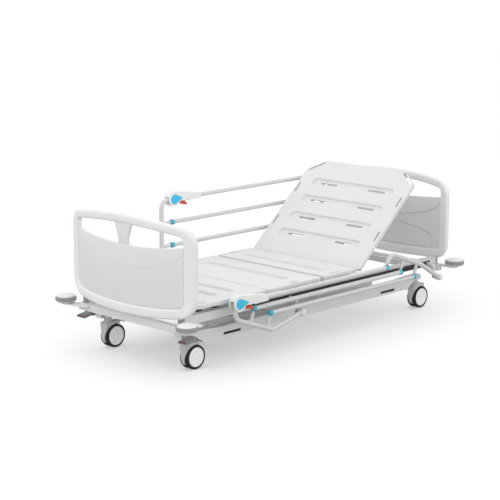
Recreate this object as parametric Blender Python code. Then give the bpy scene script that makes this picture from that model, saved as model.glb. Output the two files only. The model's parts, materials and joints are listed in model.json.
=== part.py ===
"""Adjustable hospital bed with four platform sections, collapsible side rails and twin-wheel castors.

Frame: +X points to the head end, +Y to the patient's left side, +Z up. The floor is Z = 0 and the
origin is on the floor, midway between the end bumpers. Lengths are metres, angles are degrees.
"""
import math

import bmesh
import bpy
from mathutils import Matrix, Vector

# ---------------------------------------------------------------- driving dimensions
CLEAR = 0.0004                  # gap between pieces that touch
RUN = 0.0006                    # running clearance of a pivot
WELD = 0.004                    # how far welded pieces run into each other

# overall
DECK_HALF_WIDTH = 0.400
END_BEAM_X = 1.010              # centre of the end beams, which sets the bed's length
PLATFORM_TOP = 0.345

# castors
WHEEL_RADIUS = 0.0625
WHEEL_WIDTH = 0.022
WHEEL_SPACING = 0.036           # between the centres of the two wheels of a castor
WHEEL_SIDES = 20
TYRE_DEPTH = 0.011
AXLE_RADIUS = 0.006
CASTER_TRAIL = 0.034
CASTER_STEM_RADIUS = 0.012
CASTER_COLLAR_RADIUS = 0.021
CASTER_COLLAR_HEIGHT = 0.025
CASTER_HALF_WIDTH = 0.025
CASTER_TOP = 2 * WHEEL_RADIUS + 0.016
CASTER_FOOT_X = 0.102 - END_BEAM_X
CASTER_HEAD_X = END_BEAM_X - 0.126
CASTER_Y = DECK_HALF_WIDTH - 0.100

# base frame
BASE_ARM_BOTTOM = CASTER_TOP + CASTER_COLLAR_HEIGHT + 0.002
BASE_ARM_HEIGHT = 0.028
BASE_BEAM_WIDTH = 0.046
BASE_BEAM_BOTTOM = 0.128
BASE_BEAM_TOP = 0.186
BASE_SLOT_X = (0.555, 0.680)    # pockets in the outer faces of the side beams
BASE_SLOT_Z = (0.139, 0.153)
BASE_SLOT_DEPTH = 0.008
BASE_RAIL_WIDTH = 0.040
BASE_RAIL_BOTTOM = 0.140
BASE_RAIL_TOP = 0.180
BASE_TIE_TOP = 0.150
BASE_TIE_HALF = 0.020

# brake
BRAKE_SHAFT_OFFSET = 0.047      # from the foot castor stems toward the foot
BRAKE_SHAFT_Z = BASE_ARM_BOTTOM + 0.0145
BRAKE_SHAFT_RADIUS = 0.009
PEDAL_OUT = 0.082               # from a castor's stem out to the middle of its pedal
PEDAL_WIDTH = 0.058
PEDAL_REACH = 0.070
PEDAL_THICKNESS = 0.012
PEDAL_SLOPE = 10.0

# height lift
LIFT_ARM_LENGTH = 0.47
LIFT_REST_ANGLE = 4.0
LIFT_BASE_Z = 0.162
LIFT_FOOT_X = -0.26             # base pivot of the foot arm
LIFT_HEAD_X = 0.56              # base pivot of the head arm
LIFT_ARM_Y = CASTER_Y - 0.068
LIFT_ARM_THICKNESS = 0.012
LIFT_ARM_HEIGHT = 0.032
LIFT_TUBE_RADIUS = 0.011
LIFT_PIN_REACH = 0.036          # of the upper tube past the middle of the arms
BASE_RAIL_Y = LIFT_ARM_Y - 0.062

# upper frame
FRAME_RAIL_Y = DECK_HALF_WIDTH - 0.048
FRAME_RAIL_WIDTH = 0.036
FRAME_RAIL_BOTTOM = 0.250
FRAME_RAIL_HEIGHT = 0.044
END_BEAM_WIDTH = 0.036
END_BEAM_BOTTOM = 0.213
END_BEAM_HALF = FRAME_RAIL_Y + 0.033

# sleeping surface
PANEL_THICKNESS = 0.022
PANEL_CORNER = 0.050
CHANNEL_DEPTH = 0.009
CHANNEL_HALF = DECK_HALF_WIDTH - 0.098
SLOT_WIDTH = 0.014
SLOT_IN = 0.022                 # from a panel's side edge to its side slots
BACK_LENGTH = 0.700
BACK_REST_ANGLE = 42.0
BACK_CHAMFER = 0.085
BACK_LINES = (0.157, 0.283, 0.411, 0.538)   # channels, from the hinge
SEAT_LENGTH = 0.266
THIGH_LENGTH = 0.410
BACK_AXIS_X = END_BEAM_X - BACK_LENGTH - 0.013
SEAT_END_X = BACK_AXIS_X - 0.037
SEAT_START_X = SEAT_END_X - SEAT_LENGTH
THIGH_AXIS_X = SEAT_START_X - 0.024
KNEE_X = THIGH_AXIS_X - THIGH_LENGTH
CALF_END_X = 0.065 - END_BEAM_X
SECTION_AXIS_Z = PLATFORM_TOP - 0.035
SECTION_TUBE_RADIUS = 0.009
SECTION_TUBE_Y = DECK_HALF_WIDTH - 0.160
SECTION_TUBE_Z = PLATFORM_TOP - PANEL_THICKNESS - 0.0012 - SECTION_TUBE_RADIUS
SECTION_PIN_RADIUS = 0.006
LUG_RADIUS = 0.0115
HINGE_HALF = FRAME_RAIL_Y - 0.052
SECTION_GAP = 0.004

# end boards
BOARD_HALF_WIDTH = DECK_HALF_WIDTH + 0.052
BOARD_TOP = 0.765
BOARD_SHOULDER = 0.727
BOARD_TOP_CORNER = 0.090
BOARD_BOTTOM = 0.264
BOARD_BOTTOM_END = 0.298
BOARD_BOTTOM_CORNER = 0.088
BOARD_EDGE_X = END_BEAM_X - 0.024       # middle of the board's thickness at its side edges
BOARD_BOW = 0.062
BOARD_BOW_POWER = 2.6
BOARD_THICKNESS = 0.036
BOARD_POST_WIDTH = 0.062
BOARD_HANDLE_DEPTH = 0.046
BOARD_SILL = 0.054              # height of the lower band below the inset panel
BOARD_GRIP_SILL_END = 0.640
BOARD_GRIP_SILL_MID = 0.612
WEB_TOP_HALF = 0.061            # of the web between the two hand openings
WEB_NECK_HALF = 0.034
INSET_THICKNESS = 0.020
INSET_RECESS = 0.006
BOARD_STRIPS = 6
PEG_Y = FRAME_RAIL_Y + 0.003
PEG_RADIUS = 0.011
PEG_LENGTH = 0.120

# bumpers
BUMPER_X = END_BEAM_X + 0.047
BUMPER_Y = BOARD_HALF_WIDTH + 0.002
BUMPER_Z = 0.268
BUMPER_RADIUS = 0.0525
BUMPER_HEIGHT = 0.046
BUMPER_PIN_RADIUS = 0.008
BUMPER_PLATE = 0.0085

# side rails
RAIL_Y = DECK_HALF_WIDTH + 0.060
RAIL_FOOT_X = -0.250
RAIL_HEAD_X = END_BEAM_X - 0.108
RAIL_PIVOT_Z = 0.2045
RAIL_JOINT_OFFSET = 0.046
RAIL_HEIGHTS = (0.485, 0.357, 0.229)    # joints of bars 1 to 3 above the pivots
RAIL_STANDOFF = 0.080                   # from a post's axis to its joints
RAIL_FOLD = 69.6
RAIL_BEND_HEIGHT = 0.190
RAIL_BEND_RADIUS = 0.050
RAIL_BAR_PAST = 0.272           # of the dark bar past the foot posts, toward the foot
RAIL_ARM_WELD = 0.005          # of the arms into the dark bars
RAIL_ARM_IN = 0.035             # from the rails' plane in to the brackets' upright arms
POST_RADIUS = 0.0130
BAR_RADIUS = 0.0115
STUB_RADIUS = 0.0095
EYE_THICKNESS = 0.006
PIN_RADIUS = 0.0040
RAIL_PIVOT_RADIUS = 0.010
SLEEVE_LENGTH = 0.033
SLEEVE_WALL = 0.0040
FORK_TIP = 0.0130               # from a joint to the end of the bar's fork
FORK_SWING = math.hypot(FORK_TIP, BAR_RADIUS + SLEEVE_WALL) + 0.0012

# latch
LATCH_LENGTH = 0.200
LATCH_RADIUS = 0.040
LATCH_HALF_WIDTH = 0.028
BUTTON_RADIUS = 0.026
BUTTON_LENGTH = 0.060
BUTTON_TRAVEL = 0.004
LEVER_START = 0.028             # from the joint to the lever's hinge
LEVER_LENGTH = 0.066

# control box
CONTROL_HEIGHT = 0.050
CONTROL_HALF = 0.130


# ---------------------------------------------------------------- making things
def clear_scene():
    for item in list(bpy.data.objects):
        bpy.data.objects.remove(item, do_unlink=True)


def material(name, colour, roughness, metallic=0.0):
    made = bpy.data.materials.get(name) or bpy.data.materials.new(name)
    made.use_nodes = True
    shader = made.node_tree.nodes["Principled BSDF"]
    shader.inputs["Base Color"].default_value = (*colour, 1.0)
    shader.inputs["Roughness"].default_value = roughness
    shader.inputs["Metallic"].default_value = metallic
    return made


def white_steel():
    return material("white_powder_coat", (0.80, 0.81, 0.80), 0.40)


def white_plastic():
    return material("white_plastic", (0.84, 0.85, 0.85), 0.45)


def grey_plastic():
    return material("grey_plastic", (0.42, 0.43, 0.44), 0.50)


def dark_plastic():
    return material("dark_plastic", (0.06, 0.06, 0.065), 0.50)


def black_rubber():
    return material("black_rubber", (0.015, 0.015, 0.016), 0.65)


def teal_plastic():
    return material("teal_plastic", (0.01, 0.32, 0.42), 0.40)


def blue_plastic():
    return material("blue_plastic", (0.03, 0.45, 0.80), 0.35)


def orange_plastic():
    return material("orange_plastic", (0.80, 0.12, 0.02), 0.40)


def bare_steel():
    return material("bare_steel", (0.50, 0.51, 0.52), 0.35, 1.0)


def rotation_y(degrees, centre):
    """Turn about a Y axis; a positive angle carries +Z toward +X."""
    place = Matrix.Translation(centre)
    return place @ Matrix.Rotation(math.radians(degrees), 4, "Y") @ place.inverted()


def finish(name, solid, finish_material, origin=(0, 0, 0), smooth=35.0):
    """Make a named object from a mesh in world coordinates, with its origin on its joint."""
    origin = Vector(origin)
    bmesh.ops.translate(solid, verts=solid.verts, vec=-origin)
    bmesh.ops.recalc_face_normals(solid, faces=solid.faces)
    mesh = bpy.data.meshes.new(name)
    solid.to_mesh(mesh)
    solid.free()
    mesh.materials.append(finish_material)
    mesh.shade_smooth()
    mesh.set_sharp_from_angle(angle=math.radians(smooth))
    made = bpy.data.objects.new(name, mesh)
    made.location = origin
    bpy.context.scene.collection.objects.link(made)
    return made


def add_box(solid, x, y, z):
    """A box between the pairs x, y and z."""
    size = Matrix.Diagonal((x[1] - x[0], y[1] - y[0], z[1] - z[0], 1.0))
    middle = Vector(((x[0] + x[1]) / 2, (y[0] + y[1]) / 2, (z[0] + z[1]) / 2))
    bmesh.ops.create_cube(solid, size=1.0, matrix=Matrix.Translation(middle) @ size)
    return solid


def add_rod(solid, start, end, radius, sides=12, end_radius=None):
    """A round bar or cone from start to end."""
    start = Vector(start)
    end = Vector(end)
    along = end - start
    turn = along.to_track_quat("Z", "Y").to_matrix().to_4x4()
    bmesh.ops.create_cone(
        solid, cap_ends=True, segments=sides, radius1=radius,
        radius2=radius if end_radius is None else end_radius, depth=along.length,
        matrix=Matrix.Translation((start + end) / 2) @ turn)
    return solid


def round_path(points, radius, steps):
    """The path through points with each inner corner rounded to an arc."""
    path = [Vector(points[0])]
    for before, corner, after in zip(points, points[1:], points[2:]):
        corner = Vector(corner)
        back = (Vector(before) - corner).normalized()
        ahead = (Vector(after) - corner).normalized()
        half = back.angle(ahead) / 2
        reach = radius / math.tan(half)
        centre = corner + (back + ahead).normalized() * (radius / math.sin(half))
        first = corner + back * reach - centre
        last = corner + ahead * reach - centre
        sweep = first.angle(last)
        for step in range(steps + 1):
            share = step / steps
            arm = first * math.sin((1 - share) * sweep) + last * math.sin(share * sweep)
            path.append(centre + arm / math.sin(sweep))
    path.append(Vector(points[-1]))
    return path


def add_tube(solid, path, radius, sides=12, side_axis=(0, 1, 0)):
    """A round bar along a path that lies in one plane, square to side_axis."""
    side = Vector(side_axis)
    rings = []
    for index, point in enumerate(path):
        before = path[max(index - 1, 0)]
        after = path[min(index + 1, len(path) - 1)]
        along = (after - before).normalized()
        up = along.cross(side).normalized()
        stretch = 1.0
        if 0 < index < len(path) - 1:
            stretch = 1.0 / max(math.cos((point - before).angle(after - point) / 2), 0.2)
        ring = []
        for step in range(sides):
            angle = 2 * math.pi * step / sides
            reach = side * math.cos(angle) + up * (math.sin(angle) * stretch)
            ring.append(solid.verts.new(point + reach * radius))
        rings.append(ring)
    for one, two in zip(rings, rings[1:]):
        for step in range(sides):
            following = (step + 1) % sides
            solid.faces.new((one[step], one[following], two[following], two[step]))
    solid.faces.new(rings[0])
    solid.faces.new(rings[-1])
    bmesh.ops.recalc_face_normals(solid, faces=solid.faces)
    return solid


def add_plate(solid, outline, low, high, axis="Z"):
    """A plate with a flat outline, between two heights along an axis."""
    places = {
        "Z": lambda a, b, c: (a, b, c),
        "Y": lambda a, b, c: (a, c, b),
        "X": lambda a, b, c: (c, a, b),
    }
    place = places[axis]
    corners = [solid.verts.new(place(a, b, low)) for a, b in outline]
    face = solid.faces.new(corners)
    grown = bmesh.ops.extrude_face_region(solid, geom=[face])
    raised = [item for item in grown["geom"] if isinstance(item, bmesh.types.BMVert)]
    lift = Vector(place(0, 0, high - low))
    bmesh.ops.translate(solid, verts=raised, vec=lift)
    bmesh.ops.recalc_face_normals(solid, faces=solid.faces)
    return solid


def add_turned(solid, profile, centre, axis="Y", sides=24):
    """A turned ring or disc; the profile is a loop of (radius, place along the axis)."""
    turned = bmesh.new()
    loop = [turned.verts.new((radius, 0, along)) for radius, along in profile]
    edges = [turned.edges.new((a, b)) for a, b in zip(loop, loop[1:] + loop[:1])]
    bmesh.ops.spin(turned, geom=loop + edges, cent=(0, 0, 0), axis=(0, 0, 1),
                   angle=2 * math.pi, steps=sides, use_merge=True)
    bmesh.ops.remove_doubles(turned, verts=turned.verts, dist=0.00002)
    if axis == "Y":
        bmesh.ops.rotate(turned, verts=turned.verts, matrix=Matrix.Rotation(math.pi / 2, 3, "X"))
    bmesh.ops.translate(turned, verts=turned.verts, vec=centre)
    bmesh.ops.recalc_face_normals(turned, faces=turned.faces)
    return add_solid(solid, turned)


def add_solid(solid, extra):
    """Add another mesh to solid as a body of its own; extra is used up."""
    mesh = bpy.data.meshes.new("extra")
    extra.to_mesh(mesh)
    extra.free()
    solid.from_mesh(mesh)
    bpy.data.meshes.remove(mesh)
    return solid


def combine(first, second, operation):
    """Join or cut two meshes and return the result; both are used up."""
    objects = []
    for label, solid in (("first", first), ("second", second)):
        mesh = bpy.data.meshes.new(label)
        solid.to_mesh(mesh)
        solid.free()
        made = bpy.data.objects.new(label, mesh)
        bpy.context.scene.collection.objects.link(made)
        objects.append(made)
    tool = objects[0].modifiers.new("combine", "BOOLEAN")
    tool.operation = operation
    tool.object = objects[1]
    bpy.context.view_layer.update()
    shape = objects[0].evaluated_get(bpy.context.evaluated_depsgraph_get())
    result = bmesh.new()
    result.from_mesh(shape.to_mesh())
    for made in objects:
        mesh = made.data
        bpy.data.objects.remove(made, do_unlink=True)
        bpy.data.meshes.remove(mesh)
    return result


def join(first, second):
    return combine(first, second, "UNION")


def cut(first, second):
    return combine(first, second, "DIFFERENCE")


def turn(solid, matrix):
    bmesh.ops.transform(solid, matrix=matrix, verts=solid.verts)
    return solid


def arc(centre, radius, start, end, steps):
    """Points on an arc, both ends included."""
    points = []
    for step in range(steps + 1):
        angle = math.radians(start + (end - start) * step / steps)
        points.append((centre[0] + radius * math.cos(angle), centre[1] + radius * math.sin(angle)))
    return points


def stadium(centre, half_length, radius, along_y=True, steps=5):
    """Outline of a slot with round ends in the XY plane; half_length is to its tips."""
    reach = half_length - radius
    if along_y:
        return (arc((centre[0], centre[1] + reach), radius, 0, 180, steps)
                + arc((centre[0], centre[1] - reach), radius, 180, 360, steps))
    return (arc((centre[0] + reach, centre[1]), radius, -90, 90, steps)
            + arc((centre[0] - reach, centre[1]), radius, 90, 270, steps))


# ---------------------------------------------------------------- castors and base
def caster(label, stem_x, stem_y):
    """A twin-wheel castor: swivelling housing, two tyres and their hub discs on one axle."""
    wheel_x = stem_x + CASTER_TRAIL
    axle = Vector((wheel_x, stem_y, WHEEL_RADIUS))
    web = (WHEEL_SPACING - WHEEL_WIDTH) / 2 - 0.0012
    guard = WHEEL_RADIUS + 0.006
    outline = [(wheel_x + 0.020, 0.045), (wheel_x + 0.032, 0.110), (wheel_x + 0.026, CASTER_TOP),
               (stem_x - 0.022, CASTER_TOP), (stem_x - 0.030, CASTER_TOP - 0.010)]
    outline += arc((wheel_x, WHEEL_RADIUS), guard, 158, 208, 5)
    body = add_plate(bmesh.new(), outline, stem_y - CASTER_HALF_WIDTH, stem_y + CASTER_HALF_WIDTH, axis="Y")
    wheel_room = bmesh.new()
    flanks = bmesh.new()
    for side in (-1, 1):
        y = sorted((stem_y + side * web, stem_y + side * (CASTER_HALF_WIDTH + 0.01)))
        add_rod(wheel_room, (wheel_x, y[0], WHEEL_RADIUS), (wheel_x, y[1], WHEEL_RADIUS), WHEEL_RADIUS + 0.003, 24)
        wedge = [(stem_y + side * (CASTER_HALF_WIDTH + 0.001), CASTER_TOP - 0.012),
                 (stem_y + side * web, 0.030), (stem_y + side * web, 0.0),
                 (stem_y + side * (CASTER_HALF_WIDTH + 0.02), 0.0),
                 (stem_y + side * (CASTER_HALF_WIDTH + 0.02), CASTER_TOP - 0.012)]
        add_plate(flanks, wedge, stem_x - 0.08, wheel_x + 0.08, axis="X")
    body = cut(cut(body, wheel_room), flanks)
    collar_top = CASTER_TOP + CASTER_COLLAR_HEIGHT
    body = join(body, add_rod(bmesh.new(), (stem_x, stem_y, CASTER_TOP - WELD), (stem_x, stem_y, collar_top),
                              CASTER_COLLAR_RADIUS, 16))
    stem_top = BASE_ARM_BOTTOM + BASE_ARM_HEIGHT - 0.008
    body = join(body, add_rod(bmesh.new(), (stem_x, stem_y, collar_top - WELD), (stem_x, stem_y, stem_top),
                              CASTER_STEM_RADIUS, 12))
    bore = add_rod(bmesh.new(), axle - Vector((0, 0.03, 0)), axle + Vector((0, 0.03, 0)), AXLE_RADIUS + RUN, 12)
    body = cut(body, bore)
    finish("caster_housing_" + label, body, grey_plastic(), (stem_x, stem_y, CASTER_TOP))

    rim = WHEEL_RADIUS - TYRE_DEPTH
    half = WHEEL_WIDTH / 2
    for wheel, side in (("outer", 1), ("inner", -1)):
        centre = axle + Vector((0, side * math.copysign(WHEEL_SPACING / 2, stem_y), 0))
        tyre_profile = [(rim, -half), (WHEEL_RADIUS - 0.004, -half), (WHEEL_RADIUS, -half + 0.005),
                        (WHEEL_RADIUS, half - 0.005), (WHEEL_RADIUS - 0.004, half), (rim, half)]
        tyre = add_turned(bmesh.new(), tyre_profile, centre, sides=WHEEL_SIDES)
        finish(f"caster_tyre_{label}_{wheel}", tyre, black_rubber(), axle)
    edge = rim - CLEAR
    outer = WHEEL_SPACING / 2 + half
    inner = WHEEL_SPACING / 2 - half
    profile = []
    for side in (1, -1):
        wall = [(0, outer + 0.001), (edge - 0.004, outer + 0.001), (edge, outer - 0.003), (edge, inner),
                (AXLE_RADIUS, inner)]
        wall = [(r, side * y) for r, y in wall]
        profile += wall if side > 0 else wall[::-1]
    hubs = add_turned(bmesh.new(), profile, axle, sides=WHEEL_SIDES)
    finish("caster_hub_" + label, hubs, white_plastic(), axle)


def base_frame():
    """Welded chassis: side beams that arch up over the castors, ties, and rails for the lift pivots."""
    arm_top = BASE_ARM_BOTTOM + BASE_ARM_HEIGHT
    foot, head = CASTER_FOOT_X, CASTER_HEAD_X
    outline = [(foot - 0.032, BASE_ARM_BOTTOM), (foot + 0.026, BASE_ARM_BOTTOM), (foot + 0.068, 0.145),
               (foot + 0.093, BASE_BEAM_BOTTOM - 0.004), (foot + 0.120, BASE_BEAM_BOTTOM),
               (head - 0.120, BASE_BEAM_BOTTOM), (head - 0.093, BASE_BEAM_BOTTOM - 0.004), (head - 0.068, 0.145),
               (head - 0.026, BASE_ARM_BOTTOM), (head + 0.032, BASE_ARM_BOTTOM), (head + 0.032, arm_top),
               (head - 0.030, arm_top), (head - 0.190, BASE_BEAM_TOP), (foot + 0.190, BASE_BEAM_TOP),
               (foot + 0.030, arm_top), (foot - 0.032, arm_top)]
    half = BASE_BEAM_WIDTH / 2
    beams = bmesh.new()
    for side in (-1, 1):
        y = side * CASTER_Y
        add_plate(beams, outline, y - half, y + half, axis="Y")
    lift_ends = (LIFT_FOOT_X, LIFT_HEAD_X)
    rails = bmesh.new()
    for side in (-1, 1):
        y = side * BASE_RAIL_Y
        add_box(rails, (lift_ends[0] - 0.24, lift_ends[1] + 0.08),
                (y - BASE_RAIL_WIDTH / 2, y + BASE_RAIL_WIDTH / 2), (BASE_RAIL_BOTTOM, BASE_RAIL_TOP))
    ties = bmesh.new()
    tie_y = CASTER_Y - half + WELD
    for x in (lift_ends[0] - 0.21, lift_ends[0] + 0.21, lift_ends[1] - 0.22, lift_ends[1] + 0.06):
        add_box(ties, (x - BASE_TIE_HALF, x + BASE_TIE_HALF), (-tie_y, tie_y), (BASE_BEAM_BOTTOM, BASE_TIE_TOP))
    chassis = join(join(beams, ties), rails)
    shaft_x = CASTER_FOOT_X - BRAKE_SHAFT_OFFSET
    blocks = bmesh.new()
    for side in (-1, 1):
        y = side * CASTER_Y
        add_box(blocks, (shaft_x - 0.015, foot - 0.028), (y - half + 0.002, y + half - 0.002),
                (BASE_ARM_BOTTOM + 0.001, arm_top - 0.001))
    chassis = join(chassis, blocks)
    holes = bmesh.new()
    for stem_x in (foot, head):
        for side in (-1, 1):
            add_rod(holes, (stem_x, side * CASTER_Y, BASE_ARM_BOTTOM - 0.01),
                    (stem_x, side * CASTER_Y, arm_top - 0.006), CASTER_STEM_RADIUS + RUN, 12)
    reach = CASTER_Y + BASE_BEAM_WIDTH
    add_rod(holes, (shaft_x, -reach, BRAKE_SHAFT_Z), (shaft_x, reach, BRAKE_SHAFT_Z), BRAKE_SHAFT_RADIUS + RUN, 16)
    for pivot_x in lift_ends:
        add_rod(holes, (pivot_x, 0.01 - tie_y, LIFT_BASE_Z), (pivot_x, tie_y - 0.01, LIFT_BASE_Z),
                LIFT_TUBE_RADIUS + RUN, 12)
    for end in (-1, 1):
        for side in (-1, 1):
            x = sorted(end * place for place in BASE_SLOT_X)
            face = CASTER_Y + half
            y = sorted((side * (face - BASE_SLOT_DEPTH), side * (face + 0.01)))
            add_box(holes, x, y, BASE_SLOT_Z)
    finish("base_frame", cut(chassis, holes), white_steel())


def brake():
    """A pedal on a short shaft at each foot castor; together they lock all four castors."""
    shaft_x = CASTER_FOOT_X - BRAKE_SHAFT_OFFSET
    axis = Vector((shaft_x, 0, BRAKE_SHAFT_Z))
    for label, side in (("right", -1), ("left", 1)):
        inner = side * (CASTER_Y - BASE_BEAM_WIDTH / 2 - 0.006)
        y = side * (CASTER_Y + PEDAL_OUT)
        outer = y + side * (PEDAL_WIDTH / 2 - 0.004)
        shaft = add_rod(bmesh.new(), (shaft_x, inner, BRAKE_SHAFT_Z), (shaft_x, outer, BRAKE_SHAFT_Z),
                        BRAKE_SHAFT_RADIUS, 14)
        finish("brake_shaft_" + label, shaft, bare_steel(), axis)
        tip_x = shaft_x - PEDAL_REACH
        half = PEDAL_THICKNESS / 2
        boss = BRAKE_SHAFT_RADIUS + 0.005
        outline = ([(tip_x, BRAKE_SHAFT_Z - half + 0.003), (tip_x + 0.008, BRAKE_SHAFT_Z - half)]
                   + arc((shaft_x, BRAKE_SHAFT_Z), boss, 205, 515, 10)
                   + [(tip_x + 0.008, BRAKE_SHAFT_Z + half), (tip_x, BRAKE_SHAFT_Z + half - 0.004)])
        pedal = add_plate(bmesh.new(), outline, y - PEDAL_WIDTH / 2, y + PEDAL_WIDTH / 2, axis="Y")
        bore = add_rod(bmesh.new(), (shaft_x, y - PEDAL_WIDTH, BRAKE_SHAFT_Z),
                       (shaft_x, y + PEDAL_WIDTH, BRAKE_SHAFT_Z), BRAKE_SHAFT_RADIUS + CLEAR, 14)
        pedal = turn(cut(pedal, bore), rotation_y(-PEDAL_SLOPE, axis))
        finish("brake_pedal_" + label, pedal, grey_plastic(), axis)


# ---------------------------------------------------------------- height lift and upper frame
def lift_top(base_x):
    """Upper pivot of the lift arm whose base pivot is at base_x."""
    angle = math.radians(LIFT_REST_ANGLE)
    return (base_x - LIFT_ARM_LENGTH * math.cos(angle), LIFT_BASE_Z + LIFT_ARM_LENGTH * math.sin(angle))


def lift_arm(label, base_x):
    """Two flat arms welded to a tube at each pivot."""
    top_x, top_z = lift_top(base_x)
    half = LIFT_ARM_HEIGHT / 2
    arm = bmesh.new()
    for side in (-1, 1):
        outline = (arc((base_x, LIFT_BASE_Z), half, -90, 90, 4)
                   + arc((base_x - LIFT_ARM_LENGTH, LIFT_BASE_Z), half, 90, 270, 4))
        y = side * LIFT_ARM_Y
        add_plate(arm, outline, y - LIFT_ARM_THICKNESS / 2, y + LIFT_ARM_THICKNESS / 2, axis="Y")
    turn(arm, rotation_y(LIFT_REST_ANGLE, Vector((base_x, 0, LIFT_BASE_Z))))
    reach = LIFT_ARM_Y + LIFT_ARM_THICKNESS / 2 + 0.004
    tubes = add_rod(bmesh.new(), (base_x, -reach, LIFT_BASE_Z), (base_x, reach, LIFT_BASE_Z),
                    LIFT_TUBE_RADIUS, 12)
    pin = LIFT_ARM_Y + LIFT_PIN_REACH
    add_rod(tubes, (top_x, -pin, top_z), (top_x, pin, top_z), LIFT_TUBE_RADIUS, 12)
    finish("lift_arm_" + label, join(arm, tubes), white_steel(), (base_x, 0, LIFT_BASE_Z))


def upper_frame():
    """Platform carrier: two long rails, cross beams, lift brackets and section hinges."""
    low = FRAME_RAIL_BOTTOM
    top = FRAME_RAIL_BOTTOM + FRAME_RAIL_HEIGHT
    half = FRAME_RAIL_WIDTH / 2
    end = END_BEAM_X - END_BEAM_WIDTH / 2 - CLEAR
    rails = bmesh.new()
    for side in (-1, 1):
        y = side * FRAME_RAIL_Y
        add_box(rails, (-end, end), (y - half, y + half), (low, top))
    cross = bmesh.new()
    for x in (lift_top(LIFT_FOOT_X)[0] + 0.13, THIGH_AXIS_X, BACK_AXIS_X, END_BEAM_X - 0.21):
        add_box(cross, (x - 0.016, x + 0.016), (-FRAME_RAIL_Y, FRAME_RAIL_Y), (low + 0.008, top - 0.004))
    frame = join(rails, cross)

    hang = LIFT_ARM_Y + LIFT_ARM_THICKNESS / 2 + 0.008
    shelves = bmesh.new()
    plates = bmesh.new()
    for base_x in (LIFT_FOOT_X, LIFT_HEAD_X):
        top_x, top_z = lift_top(base_x)
        for side in (-1, 1):
            y = sorted((side * hang, side * (FRAME_RAIL_Y - 0.004)))
            add_box(shelves, (top_x - 0.024, top_x + 0.024), y, (low + 0.010, low + 0.022))
            y = sorted((side * (hang + 0.001), side * (hang + 0.014)))
            add_box(plates, (top_x - 0.023, top_x + 0.023), y, (top_z - 0.020, low + 0.021))
    frame = join(join(frame, shelves), plates)

    lugs = bmesh.new()
    for axis_x in (BACK_AXIS_X, THIGH_AXIS_X):
        outline = [(axis_x - LUG_RADIUS, top - 0.02), (axis_x + LUG_RADIUS, top - 0.02)]
        outline += arc((axis_x, SECTION_AXIS_Z), LUG_RADIUS, 0, 180, 6)
        for side in (-1, 1):
            y = sorted((side * (HINGE_HALF + 0.003), side * (HINGE_HALF + 0.013)))
            add_plate(lugs, outline, *y, axis="Y")
    frame = join(frame, lugs)

    holes = bmesh.new()
    reach = FRAME_RAIL_Y - FRAME_RAIL_WIDTH
    for base_x in (LIFT_FOOT_X, LIFT_HEAD_X):
        top_x, top_z = lift_top(base_x)
        add_rod(holes, (top_x, -reach, top_z), (top_x, reach, top_z), LIFT_TUBE_RADIUS + RUN, 12)
    for axis_x in (BACK_AXIS_X, THIGH_AXIS_X):
        add_rod(holes, (axis_x, -HINGE_HALF - 0.04, SECTION_AXIS_Z), (axis_x, HINGE_HALF + 0.04, SECTION_AXIS_Z),
                SECTION_PIN_RADIUS + RUN, 12)
    finish("upper_frame", cut(frame, holes), white_steel(),
           (lift_top(LIFT_FOOT_X)[0], 0, lift_top(LIFT_FOOT_X)[1]))


def end_beam(label, end):
    """Beam across one end: sockets for the board's pegs, tongues under the long rails, bumper brackets."""
    top = FRAME_RAIL_BOTTOM - CLEAR
    half = END_BEAM_WIDTH / 2
    x = sorted((end * (END_BEAM_X - half), end * (END_BEAM_X + half)))
    beam = add_box(bmesh.new(), x, (-END_BEAM_HALF, END_BEAM_HALF), (END_BEAM_BOTTOM, top))
    tongues = bmesh.new()
    for side in (-1, 1):
        x = sorted((end * (END_BEAM_X - 0.060), end * (END_BEAM_X - half + WELD)))
        y = sorted((side * (FRAME_RAIL_Y - 0.016), side * (FRAME_RAIL_Y + 0.016)))
        add_box(tongues, x, y, (top - 0.012, top))
    beam = join(beam, tongues)
    sockets = bmesh.new()
    for side in (-1, 1):
        place = (end * END_BEAM_X, side * PEG_Y)
        add_rod(sockets, (*place, END_BEAM_BOTTOM + 0.006), (*place, top + 0.01), PEG_RADIUS + RUN, 12)
    beam = cut(beam, sockets)
    for side in (-1, 1):
        beam = join(beam, bumper_bracket(end, side))
    finish("end_beam_" + label, beam, white_steel(), (end * END_BEAM_X, 0, END_BEAM_BOTTOM))


def rail_carrier(label, side):
    """Bar along the outside of a long rail, with a bent arm and a pin for each post of the side rail."""
    inner = FRAME_RAIL_Y + FRAME_RAIL_WIDTH / 2 + CLEAR
    arm_y = RAIL_Y - RAIL_ARM_IN
    arm_z = FRAME_RAIL_BOTTOM + 0.018
    y = sorted((side * inner, side * (inner + 0.008)))
    bar = add_box(bmesh.new(), (RAIL_FOOT_X - RAIL_BAR_PAST, RAIL_HEAD_X + 0.024), y,
                  (FRAME_RAIL_BOTTOM + 0.004, FRAME_RAIL_BOTTOM + 0.032))
    for pivot_x in (RAIL_FOOT_X, RAIL_HEAD_X):
        path = round_path([Vector((pivot_x, side * (inner + RAIL_ARM_WELD), arm_z)), Vector((pivot_x, side * arm_y, arm_z)),
                           Vector((pivot_x, side * arm_y, RAIL_PIVOT_Z - 0.012))], 0.022, 3)
        bar = join(bar, add_tube(bmesh.new(), path, 0.0095, 10, side_axis=(1, 0, 0)))
        bar = join(bar, add_rod(bmesh.new(), (pivot_x, side * (arm_y - 0.004), RAIL_PIVOT_Z),
                                (pivot_x, side * (RAIL_Y + 0.010), RAIL_PIVOT_Z), RAIL_PIVOT_RADIUS, 12))
    finish("rail_carrier_" + label, bar, dark_plastic(), (RAIL_FOOT_X, side * RAIL_Y, RAIL_PIVOT_Z))


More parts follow.
